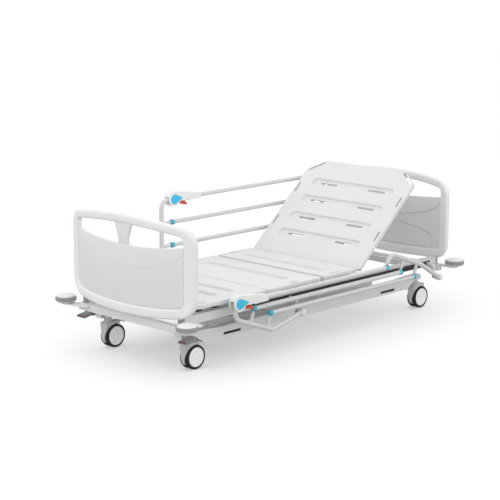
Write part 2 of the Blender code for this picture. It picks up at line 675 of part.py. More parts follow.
def bumper_bracket(end, side):
    """Corner bracket that carries a bumper roller on an upright pin."""
    inner_x = END_BEAM_X + END_BEAM_WIDTH / 2 - WELD
    root_y = END_BEAM_HALF - 0.085
    low = BUMPER_Z - BUMPER_HEIGHT / 2 - 0.010
    outline = [(inner_x, root_y), (inner_x + 0.020, root_y), (BUMPER_X + 0.018, BUMPER_Y - 0.040),
               (BUMPER_X + 0.022, BUMPER_Y - 0.012), (BUMPER_X + 0.022, BUMPER_Y + 0.012),
               (BUMPER_X, BUMPER_Y + 0.024), (BUMPER_X - 0.030, BUMPER_Y + 0.010),
               (inner_x, END_BEAM_HALF + 0.015)]
    shape = [(end * x, side * y) for x, y in outline]
    if end * side < 0:
        shape.reverse()
    plate = add_plate(bmesh.new(), shape, low, low + BUMPER_PLATE)
    x = sorted((end * inner_x, end * (inner_x + 0.010)))
    y = sorted((side * root_y, side * (END_BEAM_HALF + 0.003)))
    wall = add_box(bmesh.new(), x, y, (low + WELD, FRAME_RAIL_BOTTOM - 0.002))
    plate = join(plate, wall)
    pin = add_rod(bmesh.new(), (end * BUMPER_X, side * BUMPER_Y, low + WELD),
                  (end * BUMPER_X, side * BUMPER_Y, BUMPER_Z + BUMPER_HEIGHT / 2 - 0.006), BUMPER_PIN_RADIUS, 12)
    return join(plate, pin)


def bumper_roller(label, end, side):
    """Hollow plastic wheel that turns on its bracket's pin."""
    half = BUMPER_HEIGHT / 2
    bore = BUMPER_PIN_RADIUS + RUN
    profile = [(bore, -half), (BUMPER_RADIUS - 0.012, -half), (BUMPER_RADIUS, -half + 0.012),
               (BUMPER_RADIUS, half - 0.016), (BUMPER_RADIUS - 0.012, half - 0.004), (0.0, half),
               (0.0, half - 0.005), (bore, half - 0.005)]
    roller = add_turned(bmesh.new(), profile, (end * BUMPER_X, side * BUMPER_Y, BUMPER_Z), axis="Z", sides=20)
    finish("bumper_roller_" + label, roller, grey_plastic(), (end * BUMPER_X, side * BUMPER_Y, BUMPER_Z))


# ---------------------------------------------------------------- sleeping surface
def panel_plate(start_x, end_x, corner):
    """Flat plate between two X positions; its corners at the start are rounded when corner isn't 0."""
    w = DECK_HALF_WIDTH
    outline = [(end_x, w)]
    if corner:
        outline += arc((start_x + corner, w - corner), corner, 90, 180, 5)
        outline += arc((start_x + corner, -w + corner), corner, 180, 270, 5)
    else:
        outline += [(start_x, w), (start_x, -w)]
    outline += [(end_x, -w)]
    return add_plate(bmesh.new(), outline, PLATFORM_TOP - PANEL_THICKNESS, PLATFORM_TOP)


def channel_cutters(places, radius):
    """Shallow crosswise channels with round ends, in the top face."""
    cutters = bmesh.new()
    for x in places:
        add_plate(cutters, stadium((x, 0), CHANNEL_HALF, radius, steps=4),
                  PLATFORM_TOP - CHANNEL_DEPTH, PLATFORM_TOP + 0.01)
    return cutters


def slot_cutters(crosswise, lengthwise, corner=()):
    """Through slots: crosswise (x, y, length), lengthwise (x, y, length) and slanted ones."""
    cutters = bmesh.new()
    low = PLATFORM_TOP - PANEL_THICKNESS - 0.01
    high = PLATFORM_TOP + 0.01
    for x, y, length in crosswise:
        for side in (-1, 1):
            add_plate(cutters, stadium((x, side * y), length / 2, SLOT_WIDTH / 2, True, 3), low, high)
    for x, y, length in lengthwise:
        for side in (-1, 1):
            add_plate(cutters, stadium((x, side * y), length / 2, SLOT_WIDTH / 2, False, 3), low, high)
    for x, y, length, angle in corner:
        for side in (-1, 1):
            spin = Matrix.Rotation(math.radians(side * angle), 2)
            points = []
            for a, b in stadium((0, 0), length / 2, SLOT_WIDTH / 2, False, 3):
                moved = spin @ Vector((a, b))
                points.append((x + moved.x, side * y + moved.y))
            add_plate(cutters, points, low, high)
    return cutters


def section_crosses(places):
    """Flat bars across a section's frame, on which its panel rests."""
    crosses = bmesh.new()
    for x in places:
        add_box(crosses, (x - 0.010, x + 0.010), (-SECTION_TUBE_Y - 0.02, SECTION_TUBE_Y + 0.02),
                (SECTION_TUBE_Z - 0.006, PLATFORM_TOP - PANEL_THICKNESS - CLEAR))
    return crosses


def section_frame(axis_x, end_x, cross_places):
    """Welded tube frame under a moving section; its hinge tube and pins lie on the section's axis."""
    sides = bmesh.new()
    for side in (-1, 1):
        y = side * SECTION_TUBE_Y
        add_rod(sides, (axis_x, y, SECTION_AXIS_Z), (end_x, y, SECTION_TUBE_Z), SECTION_TUBE_RADIUS, 10)
    hinge = add_rod(bmesh.new(), (axis_x, -HINGE_HALF, SECTION_AXIS_Z), (axis_x, HINGE_HALF, SECTION_AXIS_Z),
                    SECTION_TUBE_RADIUS, 12)
    frame = join(join(sides, hinge), section_crosses(cross_places))
    reach = HINGE_HALF + 0.014
    pins = add_rod(bmesh.new(), (axis_x, -reach, SECTION_AXIS_Z), (axis_x, reach, SECTION_AXIS_Z),
                   SECTION_PIN_RADIUS, 12)
    return join(frame, pins)


def sections():
    """The four panels that carry the mattress, and the frames of the three that move."""
    side_slot_y = DECK_HALF_WIDTH - SLOT_IN
    slot_y = DECK_HALF_WIDTH - 0.224
    seat = panel_plate(SEAT_START_X, SEAT_END_X, 0)
    seat_line = SEAT_START_X + 0.105
    seat = cut(seat, channel_cutters([seat_line], 0.022))
    seat = cut(seat, slot_cutters([(seat_line, slot_y, 0.085)], [(seat_line + 0.005, side_slot_y, 0.080)]))
    finish("seat_panel", seat, white_plastic())
    backrest(slot_y, side_slot_y)
    thigh(side_slot_y)
    calf(side_slot_y)


def backrest(slot_y, side_slot_y):
    """The raising section: a panel with chamfered head corners on its tube frame."""
    axis = Vector((BACK_AXIS_X, 0, SECTION_AXIS_Z))
    back_end = BACK_AXIS_X + BACK_LENGTH
    panel = panel_plate(BACK_AXIS_X + SECTION_GAP, back_end, 0)
    chamfer = bmesh.new()
    past = 0.010
    for side in (-1, 1):
        triangle = [(back_end - BACK_CHAMFER, side * (DECK_HALF_WIDTH + past)),
                    (back_end + past, side * (DECK_HALF_WIDTH - 0.115)),
                    (back_end + past, side * (DECK_HALF_WIDTH + past))]
        add_plate(chamfer, triangle if side < 0 else triangle[::-1], PLATFORM_TOP - 0.1, PLATFORM_TOP + 0.1)
    panel = cut(panel, chamfer)
    lines = [BACK_AXIS_X + along for along in BACK_LINES]
    panel = cut(panel, channel_cutters(lines, 0.026))
    crosswise = [(x, slot_y, 0.123) for x in lines]
    corner = [(back_end - 0.051, DECK_HALF_WIDTH - 0.063, 0.115, -52.0)]
    lengthwise = [(BACK_AXIS_X + 0.230, side_slot_y, 0.070), (BACK_AXIS_X + 0.480, side_slot_y, 0.070)]
    panel = cut(panel, slot_cutters(crosswise, lengthwise, corner))
    lean = rotation_y(-BACK_REST_ANGLE, axis)
    finish("backrest_panel", turn(panel, lean), white_plastic(), axis)
    frame = section_frame(BACK_AXIS_X, back_end - 0.088, [back_end - 0.098, BACK_AXIS_X + 0.22])
    finish("backrest_frame", turn(frame, lean), white_steel(), axis)


def knee_lugs(inner_y, start_x, end_x):
    """A pair of flat lugs on the knee axis."""
    lugs = bmesh.new()
    for side in (-1, 1):
        y = sorted((side * inner_y, side * (inner_y + 0.012)))
        add_box(lugs, (start_x, end_x), y, (SECTION_AXIS_Z - 0.010, SECTION_AXIS_Z + 0.0095))
    return lugs


def thigh(side_slot_y):
    """The section that lifts the knees, hinged to the carrier at the seat."""
    axis = Vector((THIGH_AXIS_X, 0, SECTION_AXIS_Z))
    line = KNEE_X + 0.250
    panel = panel_plate(KNEE_X + SECTION_GAP, THIGH_AXIS_X - 0.006, 0)
    panel = cut(panel, channel_cutters([line], 0.026))
    panel = cut(panel, slot_cutters([(line, DECK_HALF_WIDTH - 0.188, 0.118)], [(line - 0.032, side_slot_y, 0.075)]))
    finish("thigh_panel", panel, white_plastic(), axis)
    frame = section_frame(THIGH_AXIS_X, KNEE_X + 0.024, [KNEE_X + 0.055, THIGH_AXIS_X - 0.10])
    frame = join(frame, knee_lugs(SECTION_TUBE_Y - 0.030, KNEE_X - 0.008, KNEE_X + 0.050))
    hole = add_rod(bmesh.new(), (KNEE_X, -DECK_HALF_WIDTH, SECTION_AXIS_Z), (KNEE_X, DECK_HALF_WIDTH, SECTION_AXIS_Z),
                   SECTION_PIN_RADIUS + RUN, 12)
    finish("thigh_frame", cut(frame, hole), white_steel(), axis)


def calf(side_slot_y):
    """The foot section, hinged to the thigh section at the knee."""
    axis = Vector((KNEE_X, 0, SECTION_AXIS_Z))
    panel = panel_plate(CALF_END_X, KNEE_X - SECTION_GAP, PANEL_CORNER)
    lines = [KNEE_X - 0.155, KNEE_X - 0.275]
    panel = cut(panel, channel_cutters(lines, 0.024))
    corner = [(CALF_END_X + 0.060, DECK_HALF_WIDTH - 0.048, 0.080, 42.0)]
    panel = cut(panel, slot_cutters([(x, DECK_HALF_WIDTH - 0.188, 0.118) for x in lines],
                                    [(KNEE_X - 0.192, side_slot_y, 0.075)], corner))
    finish("calf_panel", panel, white_plastic(), axis)
    sides = bmesh.new()
    for side in (-1, 1):
        y = side * SECTION_TUBE_Y
        add_rod(sides, (KNEE_X - 0.016, y, SECTION_TUBE_Z), (CALF_END_X + 0.05, y, SECTION_TUBE_Z),
                SECTION_TUBE_RADIUS, 10)
    frame = join(sides, section_crosses((KNEE_X - 0.045, CALF_END_X + 0.10)))
    frame = join(frame, knee_lugs(SECTION_TUBE_Y - 0.016, KNEE_X - 0.050, KNEE_X + 0.008))
    pins = bmesh.new()
    for side in (-1, 1):
        add_rod(pins, axis + Vector((0, side * (SECTION_TUBE_Y - 0.034), 0)),
                axis + Vector((0, side * (SECTION_TUBE_Y - 0.006), 0)), SECTION_PIN_RADIUS, 12)
    finish("calf_frame", join(frame, pins), white_steel(), axis)


# ---------------------------------------------------------------- end boards
def board_outline(side_inset, top_inset, low_inset):
    """Outline of an end board in the YZ plane, drawn in from its sides, top and bottom."""
    half = BOARD_HALF_WIDTH - side_inset
    top_corner = max(BOARD_TOP_CORNER - side_inset, 0.024)
    low_corner = max(BOARD_BOTTOM_CORNER - side_inset, 0.030)
    points = []
    steps = BOARD_STRIPS
    top_reach = half - top_corner
    for step in range(steps + 1):
        y = top_reach * (1 - 2 * step / steps)
        points.append((y, board_crown(y) - top_inset))
    edge_z = board_crown(top_reach) - top_inset - top_corner
    points += arc((-top_reach, edge_z), top_corner, 108, 180, 4)
    low_reach = half - low_corner
    low_z = BOARD_BOTTOM_END + low_inset
    points += arc((-low_reach, low_z + low_corner), low_corner, 180, 258, 4)
    for step in range(1, steps):
        y = low_reach * (-1 + 2 * step / steps)
        sag = (BOARD_BOTTOM_END - BOARD_BOTTOM) * (1 - (y / half) ** 2)
        points.append((y, low_z - sag))
    points += arc((low_reach, low_z + low_corner), low_corner, 282, 360, 4)
    points += arc((top_reach, edge_z), top_corner, 0, 72, 4)
    return points


def board_crown(y):
    """Height of a board's top edge."""
    return BOARD_SHOULDER + (BOARD_TOP - BOARD_SHOULDER) * (1 - (y / BOARD_HALF_WIDTH) ** 2)


def grip_sill(y):
    """Height of the panel's top edge under the hand openings."""
    half = BOARD_HALF_WIDTH - BOARD_POST_WIDTH
    return BOARD_GRIP_SILL_MID + (BOARD_GRIP_SILL_END - BOARD_GRIP_SILL_MID) * (y / half) ** 2


def bow(solid, end):
    """Cut a board into upright strips and bend them outward in the middle."""
    for strip in range(1, 2 * BOARD_STRIPS):
        y = BOARD_HALF_WIDTH * (strip / BOARD_STRIPS - 1)
        bmesh.ops.bisect_plane(solid, geom=solid.verts[:] + solid.edges[:] + solid.faces[:],
                               dist=0.000001, plane_co=(0, y, 0), plane_no=(0, 1, 0))
    for vert in solid.verts:
        share = min(abs(vert.co.y) / BOARD_HALF_WIDTH, 1.0)
        vert.co.x = end * (vert.co.x + BOARD_EDGE_X + BOARD_BOW * (1 - share ** BOARD_BOW_POWER))
    return solid


def end_board(name, end):
    """Bowed board: a ring with a handle rail, an inset panel with its web, and two pegs."""
    half = BOARD_THICKNESS / 2
    ring = add_plate(bmesh.new(), board_outline(0.0, 0.0, 0.0), -half, half, axis="X")
    window = board_outline(BOARD_POST_WIDTH, BOARD_HANDLE_DEPTH, BOARD_SILL)
    ring = cut(ring, add_plate(bmesh.new(), window, -0.1, 0.1, axis="X"))
    ring = bow(bevelled(ring, 0.009), end)
    pegs = bmesh.new()
    for side in (-1, 1):
        x = end * END_BEAM_X
        y = side * PEG_Y
        add_rod(pegs, (x, y, END_BEAM_BOTTOM + 0.008), (x, y, END_BEAM_BOTTOM + 0.008 + PEG_LENGTH), PEG_RADIUS, 12)
    finish(name + "_frame", join(ring, pegs), white_plastic())

    gap = 2 * CLEAR
    panel_half = BOARD_HALF_WIDTH - BOARD_POST_WIDTH - gap
    inner = board_outline(BOARD_POST_WIDTH + gap, BOARD_HANDLE_DEPTH, BOARD_SILL + gap)
    lower = [(y, z) for y, z in inner if z < BOARD_GRIP_SILL_MID - 0.06]
    places = [panel_half * (1 - step / BOARD_STRIPS) for step in range(BOARD_STRIPS)]
    sill = [(y, grip_sill(y)) for y in places if y > WEB_TOP_HALF]
    top = board_crown(WEB_TOP_HALF) - BOARD_HANDLE_DEPTH - CLEAR
    web = [(WEB_NECK_HALF, grip_sill(WEB_NECK_HALF)), (WEB_NECK_HALF + 0.006, BOARD_GRIP_SILL_MID + 0.043),
           (WEB_TOP_HALF - 0.004, top - 0.010), (WEB_TOP_HALF, top - 0.002)]
    right = sill + web
    left = [(-y, z) for y, z in reversed(right)]
    panel_out = half - INSET_RECESS
    outline = right + left + lower
    panel = add_plate(bmesh.new(), outline, panel_out - INSET_THICKNESS, panel_out, axis="X")
    finish(name + "_panel", bow(panel, end), white_plastic())


def bevelled(solid, width):
    edges = [edge for edge in solid.edges if edge.is_manifold and edge.calc_face_angle() > 1.2]
    bmesh.ops.bevel(solid, geom=edges, offset=width, offset_type="OFFSET", segments=1, profile=0.5,
                    affect="EDGES", clamp_overlap=True, material=-1)
    return solid


# ---------------------------------------------------------------- side rails
def rail_joint(pivot_x, height):
    """Place of a bar's joint on a post, with the rail up."""
    return Vector((pivot_x - RAIL_JOINT_OFFSET, 0, RAIL_PIVOT_Z + height))


def rail_post(name, pivot_x, standoff, side, fold):
    """Bent tube with an eye at its foot, and stubs that end in flat eyes for the bars."""
    y = side * RAIL_Y
    shift = Vector((0, y, 0))
    inward = 1 if standoff < 0 else -1
    joints = [rail_joint(pivot_x, height) + shift for height in RAIL_HEIGHTS]
    post_x = pivot_x - RAIL_JOINT_OFFSET + standoff
    neck = inward * FORK_SWING
    path = [Vector((pivot_x, y, RAIL_PIVOT_Z)), Vector((post_x, y, RAIL_PIVOT_Z + RAIL_BEND_HEIGHT)),
            Vector((post_x, y, joints[0].z)), joints[0] - Vector((neck, 0, 0))]
    tube = round_path(path, min(abs(standoff) - FORK_SWING - 0.004, RAIL_BEND_RADIUS), 4)
    post = add_tube(bmesh.new(), tube, POST_RADIUS, 8)
    stubs = bmesh.new()
    for joint in joints[1:]:
        add_rod(stubs, (post_x, y, joint.z), joint - Vector((neck, 0, 0)), STUB_RADIUS, 8)
    post = join(post, stubs)
    eyes = bmesh.new()
    for joint in joints:
        lead = joint.x - 1.6 * neck
        outline = (arc((joint.x, joint.z), 0.0095, -90, 90, 5) + [(lead, joint.z + 0.0075), (lead, joint.z - 0.0075)])
        if inward < 0:
            outline = ([(lead, joint.z - 0.0075), (lead, joint.z + 0.0075)]
                       + arc((joint.x, joint.z), 0.0095, 90, 270, 5))
        add_plate(eyes, outline, y - EYE_THICKNESS / 2, y + EYE_THICKNESS / 2, axis="Y")
    post = join(post, eyes)
    pins = bmesh.new()
    for joint in joints:
        add_rod(pins, joint - Vector((0, BAR_RADIUS, 0)), joint + Vector((0, BAR_RADIUS, 0)), PIN_RADIUS, 8)
    post = join(post, pins)
    boss = add_rod(bmesh.new(), (pivot_x, y - 0.015, RAIL_PIVOT_Z), (pivot_x, y + 0.017, RAIL_PIVOT_Z), 0.018, 12)
    post = join(post, boss)
    reach = sorted((y - side * 0.05, y + side * (0.010 + RUN)))
    bore = add_rod(bmesh.new(), (pivot_x, reach[0], RAIL_PIVOT_Z), (pivot_x, reach[1], RAIL_PIVOT_Z),
                   RAIL_PIVOT_RADIUS + RUN, 12)
    post = cut(post, bore)
    pivot = Vector((pivot_x, y, RAIL_PIVOT_Z))
    finish(name, turn(post, rotation_y(fold, pivot)), white_steel(), pivot)


def moved_joint(height, fold):
    """Foot-end joint of a bar after the posts turn by fold about their pivots."""
    pivot = Vector((RAIL_FOOT_X, 0, RAIL_PIVOT_Z))
    return rotation_y(fold, pivot) @ rail_joint(RAIL_FOOT_X, height)


def fork_cutter(solid, joint, way):
    """Room for a post's flat eye and its pin; way points from the joint into the bar."""
    x = sorted((joint.x - way * 0.030, joint.x + way * 0.0125))
    gap = EYE_THICKNESS / 2 + RUN
    add_box(solid, x, (joint.y - gap, joint.y + gap), (joint.z - 0.03, joint.z + 0.03))
    return solid


def rail_bar(name, height, side, fold, latch_end):
    """Straight bar whose forked ends are thicker, coloured sleeves; one end may fit in a latch instead."""
    y = side * RAIL_Y
    foot = moved_joint(height, fold) + Vector((0, y, 0))
    head = foot + Vector((RAIL_HEAD_X - RAIL_FOOT_X, 0, 0))
    start = foot.x + LATCH_LENGTH / 2 if latch_end else foot.x - FORK_TIP + WELD
    bar = add_rod(bmesh.new(), (start, y, foot.z), (head.x + FORK_TIP - WELD, y, foot.z), BAR_RADIUS, 10)
    sleeve = BAR_RADIUS + SLEEVE_WALL
    sleeves = add_rod(bmesh.new(), (head.x + FORK_TIP - SLEEVE_LENGTH, y, foot.z), (head.x + FORK_TIP, y, foot.z), sleeve, 12)
    if not latch_end:
        add_rod(sleeves, (foot.x - FORK_TIP, y, foot.z), (foot.x - FORK_TIP + SLEEVE_LENGTH, y, foot.z), sleeve, 12)
    bar = join(bar, sleeves)
    slots = fork_cutter(bmesh.new(), head, -1)
    if not latch_end:
        fork_cutter(slots, foot, 1)
    bar = cut(bar, slots)
    reach = Vector((0, 0.03, 0))
    holes = add_rod(bmesh.new(), head - reach, head + reach, PIN_RADIUS + RUN, 8)
    if not latch_end:
        add_rod(holes, foot - reach, foot + reach, PIN_RADIUS + RUN, 8)
    finish("rail_bar_" + name, cut(bar, holes), white_steel(), foot)
    return foot


def teardrop(joint, radius, length):
    """Outline in the XZ plane: a round end on the joint and a point toward the head."""
    tip = (joint.x + length, joint.z + radius * 0.06)
    return arc((joint.x, joint.z), radius, 64, 296, 14) + [tip]


def latch(label, joint, side):
    """Moulded release at the foot end of the top bar, with a push button and a lever."""
    y = joint.y
    x, z = joint.x, joint.z
    outline = (arc((x, z + 0.001), LATCH_RADIUS, 80, 285, 12)
               + [(x + 0.026, z - 0.0300), (x + 0.044, z - 0.0175),
                  (x + LATCH_LENGTH, z - 0.0150), (x + LATCH_LENGTH, z + 0.0150), (x + 0.100, z + 0.030)])
    body = add_plate(bmesh.new(), outline, y - LATCH_HALF_WIDTH, y + LATCH_HALF_WIDTH, axis="Y")
    room = bmesh.new()
    half = POST_RADIUS + 0.0015
    pocket = ([(x + 0.017, z - 0.10), (x + 0.017, z + 0.015)] + [(x - 0.10, z + 0.015), (x - 0.10, z - 0.10)])
    add_plate(room, pocket, y - half, y + half, axis="Y")
    add_box(room, (x + LEVER_START - 0.008, x + LATCH_LENGTH / 2), (y - 0.0095, y + 0.0095),
            (z - 0.10, z - 0.0085))
    body = cut(body, room)
    bores = add_rod(bmesh.new(), (x + LATCH_LENGTH / 2 - RUN, y, z), (x + LATCH_LENGTH + 0.01, y, z),
                    BAR_RADIUS + RUN, 12)
    body = cut(body, bores)
    face = side * LATCH_HALF_WIDTH
    depth = sorted((y + face * 0.72, y + face * 1.5))
    body = cut(body, add_plate(bmesh.new(), teardrop(joint, BUTTON_RADIUS + 0.0008, BUTTON_LENGTH + 0.003),
                               depth[0], depth[1], axis="Y"))
    finish("latch_housing_" + label, body, white_plastic(), joint)
    inner = y + face * 0.72 + side * (BUTTON_TRAVEL + RUN)
    span = sorted((inner, y + face + side * 0.003))
    button = add_plate(bmesh.new(), teardrop(joint, BUTTON_RADIUS, BUTTON_LENGTH), span[0], span[1], axis="Y")
    finish("latch_button_" + label, button, blue_plastic(), joint)
    hinge = Vector((x + LEVER_START, y, z - 0.0235))
    tip_x = hinge.x + LEVER_LENGTH
    outline = [(hinge.x - 0.003, hinge.z - 0.002), (tip_x - 0.008, z - 0.0370), (tip_x, z - 0.0330),
               (tip_x, z - 0.0190), (hinge.x, hinge.z + 0.003)]
    lever = add_plate(bmesh.new(), outline, y - 0.0085, y + 0.0085, axis="Y")
    finish("latch_lever_" + label, lever, orange_plastic(), hinge)


def side_rail(label, side, fold):
    """One collapsible rail: two posts and three bars that stay level as it folds."""
    rail_post("rail_post_foot_" + label, RAIL_FOOT_X, -RAIL_STANDOFF, side, fold)
    rail_post("rail_post_head_" + label, RAIL_HEAD_X, RAIL_STANDOFF, side, fold)
    for number, height in enumerate(RAIL_HEIGHTS, start=1):
        foot = rail_bar(f"{label}_{number}", height, side, fold, number == 1)
        if number == 1:
            latch(label, foot, side)


# ---------------------------------------------------------------- fixed fittings
def fittings():
    """Control box hung under the foremost cross beam of the upper frame."""
    beam_x = lift_top(LIFT_FOOT_X)[0] + 0.13
    top = FRAME_RAIL_BOTTOM + 0.008 - CLEAR
    box = add_box(bmesh.new(), (beam_x - 0.06, beam_x + 0.18), (-CONTROL_HALF, CONTROL_HALF),
                  (top - CONTROL_HEIGHT, top))
    finish("control_box", box, dark_plastic())


clear_scene()
for end_label, stem in (("foot", CASTER_FOOT_X), ("head", CASTER_HEAD_X)):
    for side_label, hand in (("right", -1), ("left", 1)):
        caster(end_label + "_" + side_label, stem, hand * CASTER_Y)
base_frame()
brake()
lift_arm("foot", LIFT_FOOT_X)
lift_arm("head", LIFT_HEAD_X)
upper_frame()
end_beam("foot", -1)
end_beam("head", 1)
rail_carrier("right", -1)
rail_carrier("left", 1)
for end_label, way in (("foot", -1), ("head", 1)):
    for side_label, hand in (("right", -1), ("left", 1)):
        bumper_roller(end_label + "_" + side_label, way, hand)
sections()
for board_name, way in (("footboard", -1), ("headboard", 1)):
    end_board(board_name, way)
side_rail("right", -1, -RAIL_FOLD)
side_rail("left", 1, 0.0)
fittings()
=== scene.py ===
import json
import math

import bmesh
import bpy
from mathutils import Matrix, Vector


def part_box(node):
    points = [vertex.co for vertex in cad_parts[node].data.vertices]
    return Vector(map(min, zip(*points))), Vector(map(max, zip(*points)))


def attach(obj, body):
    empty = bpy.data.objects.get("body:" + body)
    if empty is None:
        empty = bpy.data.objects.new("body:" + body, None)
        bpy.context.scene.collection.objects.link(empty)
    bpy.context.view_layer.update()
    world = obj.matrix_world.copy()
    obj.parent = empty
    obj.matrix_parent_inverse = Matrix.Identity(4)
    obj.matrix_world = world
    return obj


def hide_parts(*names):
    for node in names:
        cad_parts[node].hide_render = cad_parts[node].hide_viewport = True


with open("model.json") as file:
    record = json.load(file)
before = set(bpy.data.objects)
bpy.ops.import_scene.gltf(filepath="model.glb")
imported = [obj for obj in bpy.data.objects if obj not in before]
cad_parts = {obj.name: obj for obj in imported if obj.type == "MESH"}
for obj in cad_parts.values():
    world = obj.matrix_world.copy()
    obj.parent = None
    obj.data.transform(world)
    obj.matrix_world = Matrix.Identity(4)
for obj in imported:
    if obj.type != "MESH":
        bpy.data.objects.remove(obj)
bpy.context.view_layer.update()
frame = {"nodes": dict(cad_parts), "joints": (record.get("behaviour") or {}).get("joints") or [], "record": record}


# ---------------------------------------------------------------- the room
# A plain studio: a matt white painted floor, a white surround and three broad soft lamps, one
# above the far side of the bed, one low on its near side and one beyond its foot. The camera
# stands off the near corner of the foot end.
FLOOR_REACH = 40.0


def linear(code):
    """An sRGB hex colour as the linear values that a shader takes."""
    parts = [int(code[place:place + 2], 16) / 255 for place in (1, 3, 5)]
    return [part / 12.92 if part <= 0.04045 else ((part + 0.055) / 1.055) ** 2.4 for part in parts] + [1.0]


def add_node(finish, kind, settings=None, values=None, links=None):
    """Adds one node to a finish, with its settings, its socket values and the links into it."""
    node = finish.node_tree.nodes.new(kind)
    for name, value in (settings or {}).items():
        setattr(node, name, value)
    for name, value in (values or {}).items():
        node.inputs[name].default_value = value
    for name, socket in (links or {}).items():
        finish.node_tree.links.new(socket, node.inputs[name])
    return node


def new_finish(name, roughness, metallic=0.0, ior=None):
    """An empty finish: its material and its shader."""
    finish = bpy.data.materials.new(name)
    finish.use_nodes = True
    shader = finish.node_tree.nodes["Principled BSDF"]
    shader.inputs["Roughness"].default_value = roughness
    shader.inputs["Metallic"].default_value = metallic
    if ior:
        shader.inputs["IOR"].default_value = ior
    return finish, shader


# Painted floor: dead matt, lit a little from within so that shadows on it stay pale, with roller
# marks a few centimetres wide that barely show.
def painted_floor():
    finish, shader = new_finish("matt_floor_paint", 0.9)
    place = add_node(finish, "ShaderNodeTexCoord")
    marks = add_node(finish, "ShaderNodeTexNoise", values={"Scale": 18.0, "Detail": 3.0},
                     links={"Vector": place.outputs["Object"]})
    tone = add_node(finish, "ShaderNodeMix", {"data_type": "RGBA"}, links={"Factor": marks.outputs["Fac"]})
    tone.inputs[6].default_value = linear("#d2d2d2")
    tone.inputs[7].default_value = linear("#d6d6d6")
    finish.node_tree.links.new(tone.outputs[2], shader.inputs["Base Color"])
    shader.inputs["Emission Color"].default_value = (1.0, 1.0, 1.0, 1.0)
    shader.inputs["Emission Strength"].default_value = 0.34
    return finish


floor_shape = bmesh.new()
bmesh.ops.create_grid(floor_shape, x_segments=1, y_segments=1, size=FLOOR_REACH)
floor_mesh = bpy.data.meshes.new("floor")
floor_shape.to_mesh(floor_mesh)
floor_shape.free()
floor_mesh.materials.append(painted_floor())
floor = bpy.data.objects.new("floor", floor_mesh)
bpy.context.scene.collection.objects.link(floor)

# The surround is bright overhead and falls to a mid grey below, so that undersides stay darker.
# The floor throws no light back up: the painted floor of a studio sweep is flagged off the same way.
floor.visible_diffuse = False
floor.visible_glossy = False
world = bpy.data.worlds.new("white_surround")
world.use_nodes = True
facing = add_node(world, "ShaderNodeTexCoord")
height = add_node(world, "ShaderNodeSeparateXYZ", links={"Vector": facing.outputs["Generated"]})
glow = add_node(world, "ShaderNodeMapRange", {"interpolation_type": "SMOOTHSTEP"},
                {"From Min": -0.70, "From Max": 0.30, "To Min": 0.40, "To Max": 1.02},
                {"Value": height.outputs["Z"]})
world.node_tree.links.new(glow.outputs["Result"], world.node_tree.nodes["Background"].inputs["Strength"])
world.node_tree.nodes["Background"].inputs["Color"].default_value = (1.0, 1.0, 1.0, 1.0)
bpy.context.scene.world = world
bpy.context.scene.view_settings.view_transform = "Standard"

for name, place, target, size, power in (
        ("lamp_above", (-1.2, 1.6, 4.2), (0.0, 0.0, 0.3), 3.6, 8.0),
        ("lamp_near_side", (0.8, -5.2, 2.2), (0.2, 0.0, 0.4), 3.0, 18.0),
        ("lamp_foot_end", (-5.5, 0.6, 1.8), (-1.0, 0.0, 0.45), 2.6, 20.0)):
    lamp = bpy.data.lights.new(name, "AREA")
    lamp.shape = "SQUARE"
    lamp.size = size
    lamp.energy = power
    stand = bpy.data.objects.new(name, lamp)
    stand.location = place
    stand.rotation_euler = (Vector(target) - Vector(place)).to_track_quat("-Z", "Y").to_euler()
    bpy.context.scene.collection.objects.link(stand)

camera = bpy.data.cameras.new("camera")
camera.lens = 111.2
camera.sensor_width = 36.0
camera.clip_end = 200.0
viewpoint = bpy.data.objects.new("camera", camera)
viewpoint.location = (-5.968, -5.650, 2.1255)
viewpoint.rotation_euler = (math.radians(90 - 11.68), 0.0, math.radians(-45.8))
bpy.context.scene.collection.objects.link(viewpoint)
bpy.context.scene.camera = viewpoint


# ---------------------------------------------------------------- welded chassis and carrier
# Rectangular steel tube, mig welded and powder coated in one white. The coat has a fine
# orange peel, about 3 mm from crest to crest, and its gloss varies a little from place to place.
nodes = frame["nodes"]


def powder_coat(name, light, shade, roughness=0.42):
    finish, shader = new_finish(name, roughness, ior=1.5)
    place = add_node(finish, "ShaderNodeTexCoord")
    cloud = add_node(finish, "ShaderNodeTexNoise", values={"Scale": 9.0, "Detail": 4.0},
                     links={"Vector": place.outputs["Object"]})
    tone = add_node(finish, "ShaderNodeMix", {"data_type": "RGBA"}, links={"Factor": cloud.outputs["Fac"]})
    tone.inputs[6].default_value = linear(light)
    tone.inputs[7].default_value = linear(shade)
    finish.node_tree.links.new(tone.outputs[2], shader.inputs["Base Color"])
    gloss = add_node(finish, "ShaderNodeMapRange",
                     values={"To Min": roughness - 0.07, "To Max": roughness + 0.10},
                     links={"Value": cloud.outputs["Fac"]})
    finish.node_tree.links.new(gloss.outputs["Result"], shader.inputs["Roughness"])
    peel = add_node(finish, "ShaderNodeTexNoise", values={"Scale": 330.0, "Detail": 1.0},
                    links={"Vector": place.outputs["Object"]})
    bump = add_node(finish, "ShaderNodeBump", values={"Strength": 0.06, "Distance": 0.0006},
                    links={"Height": peel.outputs["Fac"]})
    finish.node_tree.links.new(bump.outputs["Normal"], shader.inputs["Normal"])
    return finish


def coat_node(node, finish):
    """Gives a carried-over part its finish in every one of its material slots."""
    mesh = nodes[node].data
    if not mesh.materials:
        mesh.materials.append(finish)
    for index in range(len(mesh.materials)):
        mesh.materials[index] = finish


white_coat = powder_coat("white_powder_coat", "#e6e7e7", "#dcdddd")
for node in ("base_frame", "lift_arm_foot", "lift_arm_head", "upper_frame", "backrest_frame", "thigh_frame",
             "calf_frame", "end_beam_foot", "end_beam_head"):
    coat_node(node, white_coat)


